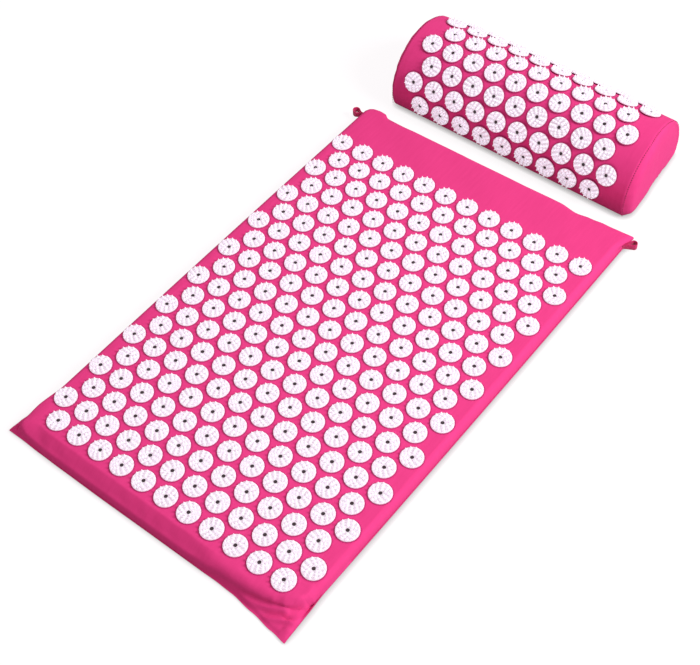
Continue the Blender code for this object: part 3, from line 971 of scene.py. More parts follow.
@dataclass
class MatCover:
    """The mat's cotton cover: one closed skin over the foam slab, with loose cloth at its corners."""

    cotton: bpy.types.Material
    shoulder: float = 0.0062
    squareness: float = 2.8
    side_squareness: float = 2.1
    shoulder_rises: tuple[float, ...] = (0.3, 0.52, 0.7, 0.84, 0.94, 1.0)
    foot_shoulder: float = 0.0170
    foot_shoulders: Curve = (
        (-200, -170, 50, 104, 150, 200),
        (9.0, 17.0, 17.0, 15.0, 10.5, 9.0),
    )
    foot_squareness: float = 2.5
    foot_profile: Curve = (
        (0.0, 0.02, 0.07, 0.15, 0.27, 0.37, 0.60, 0.79, 0.91, 1.0),
        (0.0, 0.13, 0.36, 0.475, 0.55, 0.605, 0.76, 0.88, 0.955, 1.0),
    )
    foot_steps: tuple[float, ...] = (
        0.2, 0.4, 0.7, 1.0, 1.5, 2.2, 3.0, 4.0, 5.2, 6.8, 8.5, 10.2, 11.9, 13.4, 14.8, 15.8, 17.0
    )
    pushes: tuple[float, float] = (0.0002, 0.0013)
    flap_push: float = 0.0028
    flap_rises: Curve = (
        (-324, -318, -310, -300, -290, -268),
        (0.6, 1.8, 3.4, 5.2, 6.6, 7.4),
    )
    side_seam: float = 0.0085
    tuck_reach: float = 0.0055
    hem: float = 0.0008
    head_hem: float = 0.0004
    rim_height: float = 0.0011
    loose_height: float = 0.0026
    rim_reach: float = 0.005
    tent_slope: float = 0.30
    tent_start: float = 0.002
    tent_reach: float = 0.034
    fillet: float = 0.0050
    fillet_reach: float = 0.0045
    foot_zone: tuple[float, float] = (0.258, 0.288)
    swell_zone: tuple[float, float] = (0.0135, 0.022)
    swell: float = 0.0004
    sway: float = 0.0005
    dent: float = 0.00035
    least_gap: float = 0.0006
    rim_fade: float = 0.0022
    foam_ear: float = 0.0056
    across_step: float = 0.0038
    along_step: float = 0.0040
    fine_step: float = 0.0014
    fine_reach: float = 0.034
    rim_lines: tuple[int, int, int] = (9, 18, 2)
    foot_hold: float = 0.08
    pocket_depth: float = 0.0040
    pocket_half: float = 0.1742
    smooth_below: float = 50
    foot_rim: Curve = (
        (-209, -192, -160, -128, -66, 6, 76, 95, 117, 147, 176, 196),
        (311.6, 312.0, 312.9, 313.3, 313.6, 313.3, 313.2, 312.9, 313.6, 317, 320.9, 323.6),
    )
    foot_wall: Curve = (
        (-200, -176, -150, 50, 78, 104, 128, 149, 162, 174, 182, 190, 197),
        (309.0, 310.4, 312.2, 312.2, 311.4, 308.2, 307.4, 304.4, 301.2, 297.4, 295.6, 294.8, 292.0),
    )
    left_ear: Curve = (
        (-312, -299, -286, -273, -258, -236),
        (15.7, 14.5, 12.7, 10.5, 5.9, 0.2),
    )
    head_wave: Curve = (
        (-195, -184, -173, -165, -155, -142, -107, -46, 40, 102, 126, 144, 162, 174, 186, 197),
        (0.5, 3.0, 4.4, 3.8, -3.6, -2.4, -1.0, -0.2, 1.0, 2.4, -0.8, 2.0, 4.2, 4.0, 3.3, 3.0),
    )
    head_ear: tuple[float, float] = (0.0074, 0.0032)
    folds: list[Fold] = field(
        default_factory=lambda: [
            Fold(((128, -313), (150, -309.5), (163, -306), (178, -299.5), (184, -298.5)), 2.2, 2.6),
            Fold(((156, -314), (167, -309), (178, -303.5), (188, -302), (192, -298.5)), -1.6, 2.0),
            Fold(((160, -317), (172, -312), (184, -306.5), (191, -301), (196, -299.5)), 1.9, 2.4),
            Fold(((181, -309), (188, -305), (195, -303)), 1.2, 1.6),
            Fold(((185, -319), (189, -313), (193, -308)), 0.9, 2.2),
            Fold(((188, -258), (193, -270), (195, -283), (194, -295)), -2.6, 3.4),
            Fold(((170, -290), (183, -284), (194, -281)), 0.9, 4.0),
            Fold(((-200, -280), (-199.5, -291), (-198.5, -300), (-196, -306), (-193.5, -310)), 2.6, 1.7),
            Fold(((-204, -288), (-203, -297), (-200.5, -304), (-197, -309.5)), -1.8, 1.6),
            Fold(((-207, -300), (-203, -304.5), (-199.5, -308.5), (-196.5, -311)), 1.8, 1.5),
        ]
    )

    def lines(self, rise: int) -> np.ndarray:
        """Spreads the shoulder's grid lines evenly up the wall.

        Args:
            rise: 1 to count from the wall inwards, or -1 to end at the wall.

        Returns:
            How far from the wall each line lies.
        """
        rises = np.array(self.shoulder_rises)
        reach = 1 - (1 - rises**self.squareness) ** (1 / self.squareness)
        return self.shoulder * reach[::rise]

    def side_wall(self, y: np.ndarray, side: Side) -> np.ndarray:
        """Finds where a side wall runs, drawn in towards the ends and pushed to the right.

        Args:
            y: Places along the wall.
            side: Which wall it is.

        Returns:
            The wall's x at each place.
        """
        half = MAT_HALF_WIDTH - SIDE_BOW * (y / MAT_HALF_LENGTH) ** 2
        push = self.pushes[int(side is Side.RIGHT)]
        if side is Side.RIGHT:
            push = self.flap_push + (push - self.flap_push) * smooth_step(y, -0.312, -0.270)
        return side.value * half + push

    def rim_level(self, plan: np.ndarray) -> np.ndarray:
        """Finds the seam's height: halfway up the side walls, and on the floor round the foot.

        Args:
            plan: The plan points, as (x, y) rows.

        Returns:
            The height near each point.
        """
        x, y = plan.T
        left = smooth_step(y, -0.270, -0.235) * (1 - smooth_step(x, -0.16, -0.13))
        right = smooth_step(y, -0.300, -0.268) * smooth_step(x, 0.13, 0.16)
        flap = round_interp(y, self.flap_rises) * smooth_step(x, 0.178, 0.193)
        rise = self.side_seam - self.rim_height
        return self.rim_height + rise * left + np.maximum(rise * right, flap)

    def grid(self) -> tuple[np.ndarray, np.ndarray]:
        """Lays the grid lines: along the rim, up the walls and across the top.

        Returns:
            The x and the y of each grid point.
        """
        width, length = 2 * MAT_HALF_WIDTH, 2 * MAT_HALF_LENGTH
        fine = np.arange(self.shoulder, self.fine_reach, self.fine_step)[1:]
        count = round((width - 2 * self.fine_reach) / self.across_step)
        middle = np.linspace(self.fine_reach, width - self.fine_reach, count)
        across = np.concatenate(
            [self.lines(1), fine, middle, width - fine[::-1], width - self.lines(-1)]
        )
        fine = np.arange(self.foot_shoulder, self.fine_reach - self.fine_step / 2, self.fine_step)
        count = round((length - self.fine_reach) / self.along_step)
        middle = np.linspace(self.fine_reach, length - self.shoulder, count)
        foot = np.array(self.foot_steps) * MM
        along = np.concatenate([foot, fine[1:], middle[:-1], length - self.lines(-1)])
        left, foot, near = (np.linspace(0.0, 1.0, number) for number in self.rim_lines)
        walls = (-MAT_HALF_WIDTH, MAT_HALF_WIDTH)
        xs = np.pad(across - MAT_HALF_WIDTH, (len(left), len(near)), constant_values=walls)
        walls = (-MAT_HALF_LENGTH, MAT_HALF_LENGTH)
        ys = np.pad(along - MAT_HALF_LENGTH, (len(foot), len(near)), constant_values=walls)
        left_wall, right_wall = (self.side_wall(ys, side) for side in Side)
        share = (across / width)[:, None]
        x_grid = np.concatenate(
            [
                left_wall - round_interp(ys, self.left_ear) * (1 - left[:, None]),
                left_wall + (right_wall - left_wall) * share,
                right_wall + self.hem * near[:, None],
            ]
        )
        foot_rim = -round_interp(xs, self.foot_rim)[:, None]
        foot_wall = -round_interp(xs, self.foot_wall)[:, None]
        held = np.clip((along - self.foot_shoulder) / self.foot_hold, 0.0, 1.0)
        y_grid = np.concatenate(
            [
                foot_rim + (foot_wall - foot_rim) * foot,
                along - MAT_HALF_LENGTH + (foot_wall + MAT_HALF_LENGTH) * (1 - held),
                np.tile(MAT_HALF_LENGTH + self.head_hem * near, (len(xs), 1)),
            ],
            axis=1,
        )
        return x_grid, y_grid

    def foam_outline(self) -> np.ndarray:
        """Draws the plan of the foam that holds the cover up, with its corners rounded.

        Returns:
            The outline's corners in order, as (x, y) rows.
        """
        ys = np.linspace(-0.2740, 0.3032, 40)
        right = [(0.1815, -0.2942), (0.1870, -0.2900), (0.1912, -0.2838)]
        right += list(zip(self.side_wall(ys, Side.RIGHT), ys))
        ear = self.foam_ear * (1 - smooth_step(ys, -0.290, -0.240))
        left = list(zip(self.side_wall(ys, Side.LEFT) - ear, ys))[::-1]
        head = [(0.1964, 0.3100), (0.1946, 0.3122), (-0.182, 0.3122)]
        head += [(-0.1865, 0.3112), (-0.1900, 0.3082)]
        corner = [(-0.1970, -0.294), (-0.1966, -0.301), (-0.1940, -0.3062), (-0.1895, -0.3085)]
        xs = np.linspace(-0.183, 0.176, 62)
        wall = round_interp(xs, self.foot_wall)
        foot = list(zip(xs, -wall))
        return np.array(corner + foot + right + head + left)

    def loose_cloth(
        self,
        plan: np.ndarray,
        from_rim: np.ndarray,
        support: np.ndarray,
        seam: np.ndarray,
        tented: np.ndarray,
    ) -> np.ndarray:
        """Finds the height of the cloth that no foam holds up.

        Args:
            plan: The plan points, as (x, y) rows.
            from_rim: How far inside the rim each of them lies.
            support: How far inside the foam's outline each of them lies.
            seam: The rim's height near each of them.
            tented: How far the cloth stands up from the rim like a tent there, up to 1.

        Returns:
            The height at each point.
        """
        x, y = plan.T
        near_rim = smooth_step(from_rim, 0.0, self.rim_reach)
        loose = seam + (np.maximum(self.loose_height, seam) - seam) * near_rim
        to_foot = np.maximum(y + round_interp(x, self.foot_rim), 0.0)
        run = from_rim + (to_foot - from_rim) * smooth_step(x, -0.05, 0.05)
        tent = self.tent_slope * np.maximum(run - self.tent_start, 0.0)
        tent *= np.exp(-((run / self.tent_reach) ** 6))
        tent += self.fillet * np.exp(-np.abs(support) / self.fillet_reach)
        return loose + tent * near_rim * tented

    def swell_between(
        self, plan: np.ndarray, support: np.ndarray, discs: Sequence[Vector]
    ) -> np.ndarray:
        """Finds how far the cloth swells up between the discs.

        Args:
            plan: The plan points, as (x, y) rows.
            support: How far inside the foam's outline each of them lies.
            discs: The discs' places, under which the cloth lies flat.

        Returns:
            The rise at each point.
        """
        x, y = plan.T
        nearest = np.full(len(plan), 1e9)
        for disc in discs:
            nearest = np.minimum(nearest, np.hypot(x - disc.x, y - disc.y))
        free = smooth_step(nearest, *self.swell_zone) * smooth_step(support, 0.0, 0.012)
        sway = np.sin(x * 61 + 2.2 * np.sin(y * 23)) * np.sin(y * 47 + 1.3)
        return free * (self.swell + self.sway * sway)

    def heights(
        self, x_grid: np.ndarray, y_grid: np.ndarray, discs: Sequence[Vector]
    ) -> tuple[np.ndarray, np.ndarray]:
        """Finds the height of the upper and the lower cloth over each grid point.

        Args:
            x_grid: The grid points' x.
            y_grid: The grid points' y.
            discs: The discs' places, under which the cloth lies flat.

        Returns:
            The upper and the lower heights, which meet at the rim.
        """
        sheet = np.stack([x_grid, y_grid], 2)
        plan = sheet.reshape(-1, 2)
        x, y = plan.T
        edge = np.concatenate([sheet[:, 0], sheet[-1, 1:], sheet[-2::-1, -1], sheet[0, -2:0:-1]])
        from_rim = np.maximum(inside_distance(plan, edge), 0.0)
        support = inside_distance(plan, self.foam_outline())
        seam = self.rim_level(plan)
        on_side = (seam - self.rim_height) / (self.side_seam - self.rim_height)
        bevelled = smooth_step(x, -0.195, -0.165) * (1 - smooth_step(x, 0.05, 0.11))
        at_foot = smooth_step(-y, *self.foot_zone)
        bevelled *= at_foot
        tented = (1 - on_side) * (1 - bevelled)
        loose = self.loose_cloth(plan, from_rim, support, seam, tented)
        foot = round_interp(x, self.foot_shoulders)
        shoulder = self.shoulder + (foot - self.shoulder) * at_foot
        power = self.squareness + (self.foot_squareness - self.squareness) * at_foot
        share = np.clip(support / shoulder, 0.0, 1.0)
        power = power + (self.side_squareness - power) * on_side
        rise = (1 - (1 - share) ** power) ** (1 / power)
        rise += (np.interp(share, *self.foot_profile) - rise) * bevelled
        upper = loose + (MAT_TOP - loose) * rise
        for fold in self.folds:
            upper += fold.lift(plan) * smooth_step(from_rim, 0.0, 0.003)
        upper += self.swell_between(plan, support, discs)
        dents = np.sin(x * 190 + 3 * np.sin(x * 37)) * np.sin(y * 260 + 2)
        upper += self.dent * dents * at_foot * np.sin(np.pi * share)
        tuck = np.clip(from_rim / self.tuck_reach, 0.0, 1.0)
        rounded = seam * (1 - np.sqrt(1 - (1 - tuck) ** 2))
        lower = self.rim_height * np.exp(-from_rim / self.rim_fade) * (1 - on_side)
        lower += rounded * on_side
        on_rim = from_rim < 1e-7
        upper[on_rim] = lower[on_rim] = seam[on_rim]
        upper = np.maximum(upper, lower + self.least_gap * smooth_step(from_rim, 0, 0.001))
        return upper.reshape(x_grid.shape), lower.reshape(x_grid.shape)

    def skin(self, discs: Sequence[Vector]) -> bpy.types.Mesh:
        """Joins the upper and lower cloth at the rim into one closed skin.

        Args:
            discs: The places of the mat's discs.

        Returns:
            The skin.
        """
        x_grid, y_grid = self.grid()
        upper, lower = self.heights(x_grid, y_grid, discs)
        columns, rows = x_grid.shape
        wave = round_interp(x_grid.ravel(), self.head_wave).reshape(x_grid.shape)
        lifted = smooth_step(upper, 0.0150, 0.0185) * smooth_step(y_grid, 0.288, 0.309)
        count = columns * rows
        index = np.arange(count).reshape(columns, rows)
        high = smooth_step(upper, 0.0130, 0.0175)
        pull = high * smooth_step(x_grid, 0.166, 0.1955) * smooth_step(y_grid, 0.286, 0.3115)
        top_x, top_y = x_grid + self.head_ear[0] * pull, y_grid + wave * lifted + self.head_ear[1] * pull
        top = np.stack([top_x, top_y, upper], 2).reshape(-1, 3)
        under = np.stack([x_grid, y_grid, lower], 2).reshape(-1, 3)
        inner = np.zeros((columns, rows), bool)
        inner[1:-1, 1:-1] = True
        below = index.copy()
        below[inner] = count + np.arange(inner.sum())
        points = np.concatenate([top, under[inner.ravel()]])
        faces = []
        for column in range(columns - 1):
            for row in range(rows - 1):
                ring = ((column, row), (column + 1, row), (column + 1, row + 1), (column, row + 1))
                faces.append([int(index[place]) for place in ring])
                faces.append([int(below[place]) for place in reversed(ring)])
        return mesh_of("mat_skin", points, faces)

    def build(self, discs: Sequence[Vector]) -> bpy.types.Object:
        """Makes the cover as one piece that stands for both panels and the foam.

        Args:
            discs: The places of the mat's discs.

        Returns:
            The piece.
        """
        data = carve(
            self.skin(discs),
            "mat_cover",
            (-self.pocket_half, MAT_HALF_LENGTH - self.pocket_depth, SEAM_HEIGHT - SLOT_HALF_HEIGHT),
            (self.pocket_half, MAT_HALF_LENGTH + POCKET_CLEAR, SEAM_HEIGHT + SLOT_HALF_HEIGHT),
        )
        shade(data, self.smooth_below)
        unwrap_flat(data)
        cover = add_piece("mat_cover", data, self.cotton)
        settle(cover, "mat", ("mat_top_panel", "mat_bottom_panel", "mat_foam_core"))
        return cover


def rear_draw(y: np.ndarray) -> np.ndarray:
    """How far the pillow's right end is drawn in at each y about the pillow's axis."""
    spots = np.array((-72.0, -20.0, 0.0, 20.0, 45.0, 72.0)) * MM
    return np.interp(y, spots, np.array((0.0, 0.0, 1.8, 2.7, 4.2, 6.0)) * MM)


@dataclass
class PillowCover:
    """The pillow's cotton cover: a closed half-round skin whose ends swell past their seams."""

    cotton: bpy.types.Material
    arch_points: int = 72
    base_points: int = 34
    stations: int = 84
    corner_passes: int = 10
    end_draws: tuple[float, float] = (0.0004, 0.0)
    end_reach: float = 0.013
    end_leans: tuple[float, float] = (0.075, 0.045)
    seam_sink: float = 0.0014
    seam_reach: float = 0.0011
    seam_stations: tuple[float, ...] = (0.0006, 0.0012, 0.0022, 0.0035)
    rear_reach: float = 0.030
    bulges: tuple[tuple[Side, float], ...] = ((Side.LEFT, 0.0068), (Side.RIGHT, 0.0050))
    ring_shares: tuple[float, ...] = (0.985, 0.965, 0.93, 0.88, 0.81, 0.72, 0.6, 0.46, 0.3, 0.14)
    pucker: float = 0.00045
    pucker_reach: float = 0.011
    pocket_depth: float = 0.0045
    pocket_half: float = 0.1356
    smooth_below: float = 55

    def section(self) -> np.ndarray:
        """Draws the closed half-round section, with softened corners.

        Returns:
            The section as (y, z) rows about the axis.
        """
        sweep = math.acos(-PILLOW_AXIS.z / PILLOW_RADIUS)
        turns = np.linspace(-sweep, sweep, self.arch_points)
        arch = np.stack([np.sin(turns), np.cos(turns)], 1) * PILLOW_RADIUS
        base = np.linspace(arch[-1], arch[0], self.base_points + 2)[1:-1]
        ring = np.concatenate([arch, base])
        for _ in range(self.corner_passes):
            smoothed = ring * 0.5 + (np.roll(ring, 1, 0) + np.roll(ring, -1, 0)) * 0.25
            near = np.minimum(
                np.hypot(*(ring - arch[0]).T), np.hypot(*(ring - arch[-1]).T)
            )
            share = 1 - smooth_step(near, 0.010, 0.020)
            ring = ring + (smoothed - ring) * share[:, None]
        ring[:, 1] = np.maximum(ring[:, 1], -PILLOW_AXIS.z)
        return ring

    def station(self, ring: np.ndarray, x: float) -> np.ndarray:
        """Shapes the section at one station, drawn in and puckered towards its seam.

        Args:
            ring: The section.
            x: The station's place along the pillow from its middle.

        Returns:
            The station's points as (x, y, z) rows about the axis.
        """
        half = PILLOW_LENGTH / 2
        from_end = half - abs(x)
        inner = np.clip(1 - from_end / self.end_reach, 0.0, 1.0)
        draw = self.end_draws[int(x > 0)] * (1 - math.sqrt(max(0.0, 1 - inner**2)))
        draw += self.seam_sink * math.exp(-((from_end / self.seam_reach) ** 2))
        turns = np.arctan2(ring[:, 0], ring[:, 1])
        phase = 0.9 if x < 0 else 2.1
        ripple = np.sin(turns * 23 + phase) * np.sin(turns * 9.5 + 2 * phase)
        pucker = self.pucker * ripple * math.exp(-from_end / self.pucker_reach)
        scale = 1 - (draw - pucker) / PILLOW_RADIUS
        shaped = PILLOW_MIDDLE + (ring - PILLOW_MIDDLE) * scale[:, None]
        shaped[:, 1] = np.maximum(shaped[:, 1], -PILLOW_AXIS.z)
        taper = smooth_step(np.full(len(ring), x), half - self.rear_reach, half)
        return np.column_stack([x - rear_draw(shaped[:, 0]) * taper, shaped])

    def cap(self, ring: np.ndarray, rim: np.ndarray, side: Side, bulge: float) -> list[np.ndarray]:
        """Shapes an end in rings that shrink from its rim to a pole and swell outwards.

        Args:
            ring: The section.
            rim: The end's outermost station.
            side: Which end it is.
            bulge: How far it swells past its seam.

        Returns:
            The rings from outside and the pole, all as (x, y, z) rows about the axis.
        """
        turns = np.arctan2(ring[:, 0], ring[:, 1])
        ripple = np.sin(turns * 21 + side.value) * np.sin(turns * 8 + 0.7)
        tops = []
        for inner in self.ring_shares:
            swell = bulge * (1 - inner**4.5) ** 0.5
            swell = swell + self.pucker * ripple * math.exp(-(1 - inner) / 0.12)
            flat = PILLOW_MIDDLE + (rim[:, 1:] - PILLOW_MIDDLE) * inner
            flat[:, 1] = np.maximum(flat[:, 1], -PILLOW_AXIS.z)
            if side is Side.RIGHT:
                lean = np.where(flat[:, 0] < 0, *self.end_leans) * flat[:, 0]
                swell = swell - lean * smooth_step(1 - inner, 0, 0.1) - rear_draw(flat[:, 0])
            tops.append(np.column_stack([side.value * (PILLOW_LENGTH / 2 + swell), flat]))
        return [*tops, np.array([[tops[-1][:, 0].mean(), *PILLOW_MIDDLE]])]

    def skin(self) -> bpy.types.Mesh:
        """Lofts the section from end to end and closes both ends over their bulge.

        Returns:
            The skin.
        """
        ring = self.section()
        count = len(ring)
        half = PILLOW_LENGTH / 2
        share = np.linspace(-1, 1, self.stations)
        spots = half * np.sign(share) * (1 - (1 - np.abs(share)) ** 1.35)
        near_seam = np.array(self.seam_stations)
        spots = np.unique(np.concatenate([spots, half - near_seam, near_seam - half]))
        points = [self.station(ring, x) for x in spots]
        faces = []
        for row in range(len(spots) - 1):
            faces += self.band(row * count, (row + 1) * count, count)
        used = len(spots) * count
        for (side, bulge), row in zip(self.bulges, (0, len(spots) - 1)):
            start = row * count
            *tops, pole = self.cap(ring, points[row], side, bulge)
            for top in tops:
                points.append(top)
                faces += self.band(start, used, count)
                start, used = used, used + count
            points.append(pole)
            faces += [(start + k, start + (k + 1) % count, used) for k in range(count)]
            used += 1
        return mesh_of("pillow_skin", np.concatenate(points) + np.array(PILLOW_AXIS), faces)

    @staticmethod
    def band(first: int, second: int, count: int) -> list[tuple[int, int, int, int]]:
        """Lists the faces between two closed rings of points.

        Args:
            first: The first ring's first index.
            second: The second ring's first index.
            count: How many points a ring has.

        Returns:
            The faces.
        """
        return [
            (first + k, first + (k + 1) % count, second + (k + 1) % count, second + k)
            for k in range(count)
        ]

    def build(self) -> bpy.types.Object:
        """Makes the cover as one piece that stands for its panels and the foam.

        Returns:
            The piece.
        """
        data = carve(
            self.skin(),
            "pillow_cover",
            (
                PILLOW_AXIS.x - self.pocket_half,
                PILLOW_AXIS.y + PILLOW_RADIUS - self.pocket_depth,
                PILLOW_AXIS.z - SLOT_HALF_HEIGHT,
            ),
            (
                PILLOW_AXIS.x + self.pocket_half,
                PILLOW_AXIS.y + PILLOW_RADIUS + POCKET_CLEAR,
                PILLOW_AXIS.z + SLOT_HALF_HEIGHT,
            ),
        )
        shade(data, self.smooth_below)
        unwrap_round(data, PILLOW_AXIS, PILLOW_RADIUS)
        cover = add_piece("pillow_cover", data, self.cotton)
        panels = ("pillow_top_panel", "pillow_bottom_panel", "pillow_foam_core")
        ends = ("pillow_left_end_panel", "pillow_right_end_panel")
        settle(cover, "pillow", panels + ends)
        return cover


@dataclass
class RibbonLoop:
    """A loop of twill ribbon that stands on its edge, its two ends sewn into the mat's side seam."""

    name: str
    anchor: Vector
    turn: float
    length: float
    eye: float
    ribbon: bpy.types.Material
    width: float = 0.008
    thickness: float = 0.0009
    neck: float = 0.003
    tuck: float = 0.0004
    arc_steps: int = 18
    smooth_passes: int = 3
    eye_turn: float = 0.62 * math.pi
    smooth_below: float = 60

    def centreline(self) -> np.ndarray:
        """Draws the ribbon's middle line in plan: out from the seam, round the eye and back.

        Returns:
            The line's points, as (x, y) rows from the seam.
        """
        radius = self.eye / 2 + self.thickness / 2
        far = self.length - radius - self.thickness / 2
        half_gap = self.thickness / 2 + 0.0001
        turns = np.linspace(-self.eye_turn, self.eye_turn, self.arc_steps)
        arc = np.stack([far + radius * np.cos(turns), radius * np.sin(turns)], 1)
        start = np.array(
            [[-self.tuck, -half_gap], [self.neck * 0.5, -half_gap], [self.neck, -half_gap * 1.2]]
        )
        line = np.concatenate([start, arc, (start * (1, -1))[::-1]])
        for _ in range(self.smooth_passes):
            low = line[:-1] * 0.75 + line[1:] * 0.25
            high = line[:-1] * 0.25 + line[1:] * 0.75
            mixed = np.stack([low, high], 1).reshape(-1, 2)
            line = np.concatenate([line[:1], mixed, line[-1:]])
            keep = np.linspace(0, len(line) - 1, 2 * self.arc_steps + 8).round().astype(int)
            line = line[np.unique(keep)]
        return line

    def build(self) -> bpy.types.Object:
        """Sweeps a round-edged band along the middle line.

        Returns:
            The piece.
        """
        line = self.centreline()
        ahead = np.gradient(line, axis=0)
        ahead /= np.hypot(ahead[:, 0], ahead[:, 1])[:, None]
        aside = np.stack([ahead[:, 1], -ahead[:, 0]], 1)
        half, flat = self.thickness / 2, self.width / 2
        soft = half * 0.7
        section = [(half, flat - soft), (soft, flat), (-soft, flat), (-half, flat - soft)]
        section += [(-x, -z) for x, z in section]
        run = np.concatenate([[0.0], np.cumsum(np.hypot(*np.diff(line, axis=0).T))])
        sag = 0.0004 * np.sin(run / run[-1] * math.pi * 3 + self.turn)
        points = []
        for place in range(len(line)):
            for out, up in section:
                x, y = line[place] + aside[place] * out
                points.append((x, y, up + sag[place]))
        turned = Matrix.Rotation(self.turn, 4, "Z")
        placed = np.array([tuple(self.anchor + turned @ Vector(p)) for p in points])
        count = len(section)
        faces: list[tuple[int, ...]] = []
        for place in range(len(line) - 1):
            faces += PillowCover.band(place * count, (place + 1) * count, count)
        last = (len(line) - 1) * count
        faces += [tuple(range(count)), tuple(range(last, last + count))]
        data = mesh_of(self.name, placed, faces)
        shade(data, self.smooth_below)
        layer = data.uv_layers.new(name=CLOTH_MAP)
        for loop in data.loops:
            station, corner = divmod(loop.vertex_index, count)
            layer.data[loop.index].uv = (run[station], section[corner][1])
        piece = add_piece(self.name + "_ribbon", data, self.ribbon)
        return settle(piece, self.name, (self.name,))


@dataclass
class ZipCoils:
    """The two rows of teeth of a closed zip, each a nylon coil whose turns show as round bars."""

    prefix: str
    middle: Vector
    half_length: float
    nylon: bpy.types.Material
    pitch: float = 0.0013
    parting: float = 0.0012
    tooth_width: float = 0.0019
    tooth_depth: float = 0.0016
    bar_half_share: float = 0.46
    tooth_sides: int = 8
    smooth_below: float = 60

    def tree(self, values: dict[str, object]) -> bpy.types.NodeTree:
        """Builds the tree that repeats one rounded tooth along a row.

        Args:
            values: The values of the tree's inputs by name.

        Returns:
            The tree.
        """
        tree, size, out = new_tree("zip teeth in a row", values)
        inputs = {
            "Vertices": self.tooth_sides,
            "Radius": size["Tooth Radius"],
            "Depth": size["Tooth Width"],
        }
        tooth = add_node(tree, "GeometryNodeMeshCylinder", inputs)
        squeeze = self.pitch * self.bar_half_share / (self.tooth_depth / 2)
        slim = add_node(tree, "GeometryNodeTransform", {0: tooth, "Scale": (squeeze, 1.0, 1.0)})
        step = add_node(tree, "ShaderNodeCombineXYZ", {0: size["Pitch"]})
        inputs = {"Count": size["Count"], "Offset": step}
        line = add_node(tree, "GeometryNodeMeshLine", inputs, mode="OFFSET")
        inputs = {0: repeat(tree, line, slim, turned=False), "Material": size["Nylon"]}
        dyed = add_node(tree, "GeometryNodeSetMaterial", inputs)
        tree.links.new(dyed.outputs[0], out.inputs[0])
        return tree

    def build(self) -> list[bpy.types.Object]:
        """Makes the upper and the lower row, each standing for its CAD bar.

        Returns:
            The two pieces.
        """
        made = []
        count = int(2 * self.half_length / self.pitch)
        values = {
            "Count": count,
            "Pitch": self.pitch,
            "Tooth Width": self.tooth_width,
            "Tooth Radius": self.tooth_depth / 2,
            "Nylon": self.nylon,
        }
        for row, side in (("upper", 1), ("lower", -1)):
            data = grow(self.tree(values), values, [Vector()], [Euler()])
            rise = side * (self.parting + self.tooth_width) / 2
            shift = Vector((-(count - 1) * self.pitch / 2, 0.0, rise))
            data.transform(Matrix.Translation(self.middle + shift))
            shade(data, self.smooth_below)
            piece = add_piece(f"{self.prefix}_zip_{row}_coil", data)
            made.append(settle(piece, self.prefix, (f"{self.prefix}_zip_{row}_teeth",)))
        return made


@dataclass
class Stitching:
    """Rows of sewn stitches: a slim thread capsule on every point, turned along its seam."""

    name: str
    body: str
    thread: bpy.types.Material
    places: list[Vector] = field(default_factory=list)
    turns: list[Euler] = field(default_factory=list)
    stitch_length: float = 0.0022
    thread_radius: float = 0.0004
    flatness: float = 0.8
    sides: int = 6

    def sew(self, line: Sequence[Vector], outwards: Sequence[Vector], pitch: float = 0.003) -> None:
        """Adds stitches along a line.

        Args:
            line: Points along the seam.
            outwards: The cloth's normal at each of them.
            pitch: The distance from one stitch to the next.
        """
        left = pitch / 2
        for (start, end), normal in zip(zip(line, line[1:]), outwards):
            side = end - start
            while left <= side.length:
                ahead = side.normalized()
                up = (normal - ahead * normal.dot(ahead)).normalized()
                across = up.cross(ahead)
                turned = Matrix((ahead, across, up)).transposed()
                self.places.append(start + ahead * left)
                self.turns.append(turned.to_euler())
                left += pitch
            left -= side.length

    def build(self) -> bpy.types.Object:
        """Makes all the stitches as one piece.

        Returns:
            The piece.
        """
        values = {
            "Stitch Length": self.stitch_length,
            "Thread Radius": self.thread_radius,
            "Thread": self.thread,
        }
        tree, size, out = new_tree("stitches on points", values)
        inputs = {"Segments": self.sides, "Rings": 5, "Radius": size["Thread Radius"]}
        capsule = add_node(tree, "GeometryNodeMeshUVSphere", inputs)
        inputs = {0: size["Stitch Length"], 1: size["Thread Radius"]}
        stretch = add_node(tree, "ShaderNodeMath", inputs, operation="DIVIDE")
        along = add_node(tree, "ShaderNodeMath", {0: stretch, 1: 0.5}, operation="MULTIPLY")
        shape = add_node(tree, "ShaderNodeCombineXYZ", {0: along, 1: 1.0, 2: self.flatness})
        slim = add_node(tree, "GeometryNodeTransform", {0: capsule, "Scale": shape})
        real = repeat(tree, size["Geometry"], slim, turned=True)
        spun = add_node(tree, "GeometryNodeSetMaterial", {0: real, "Material": size["Thread"]})
        tree.links.new(spun.outputs[0], out.inputs[0])
        data = grow(tree, values, self.places, self.turns)
        data.shade_smooth()
        return settle(add_piece(self.name, data), self.body)


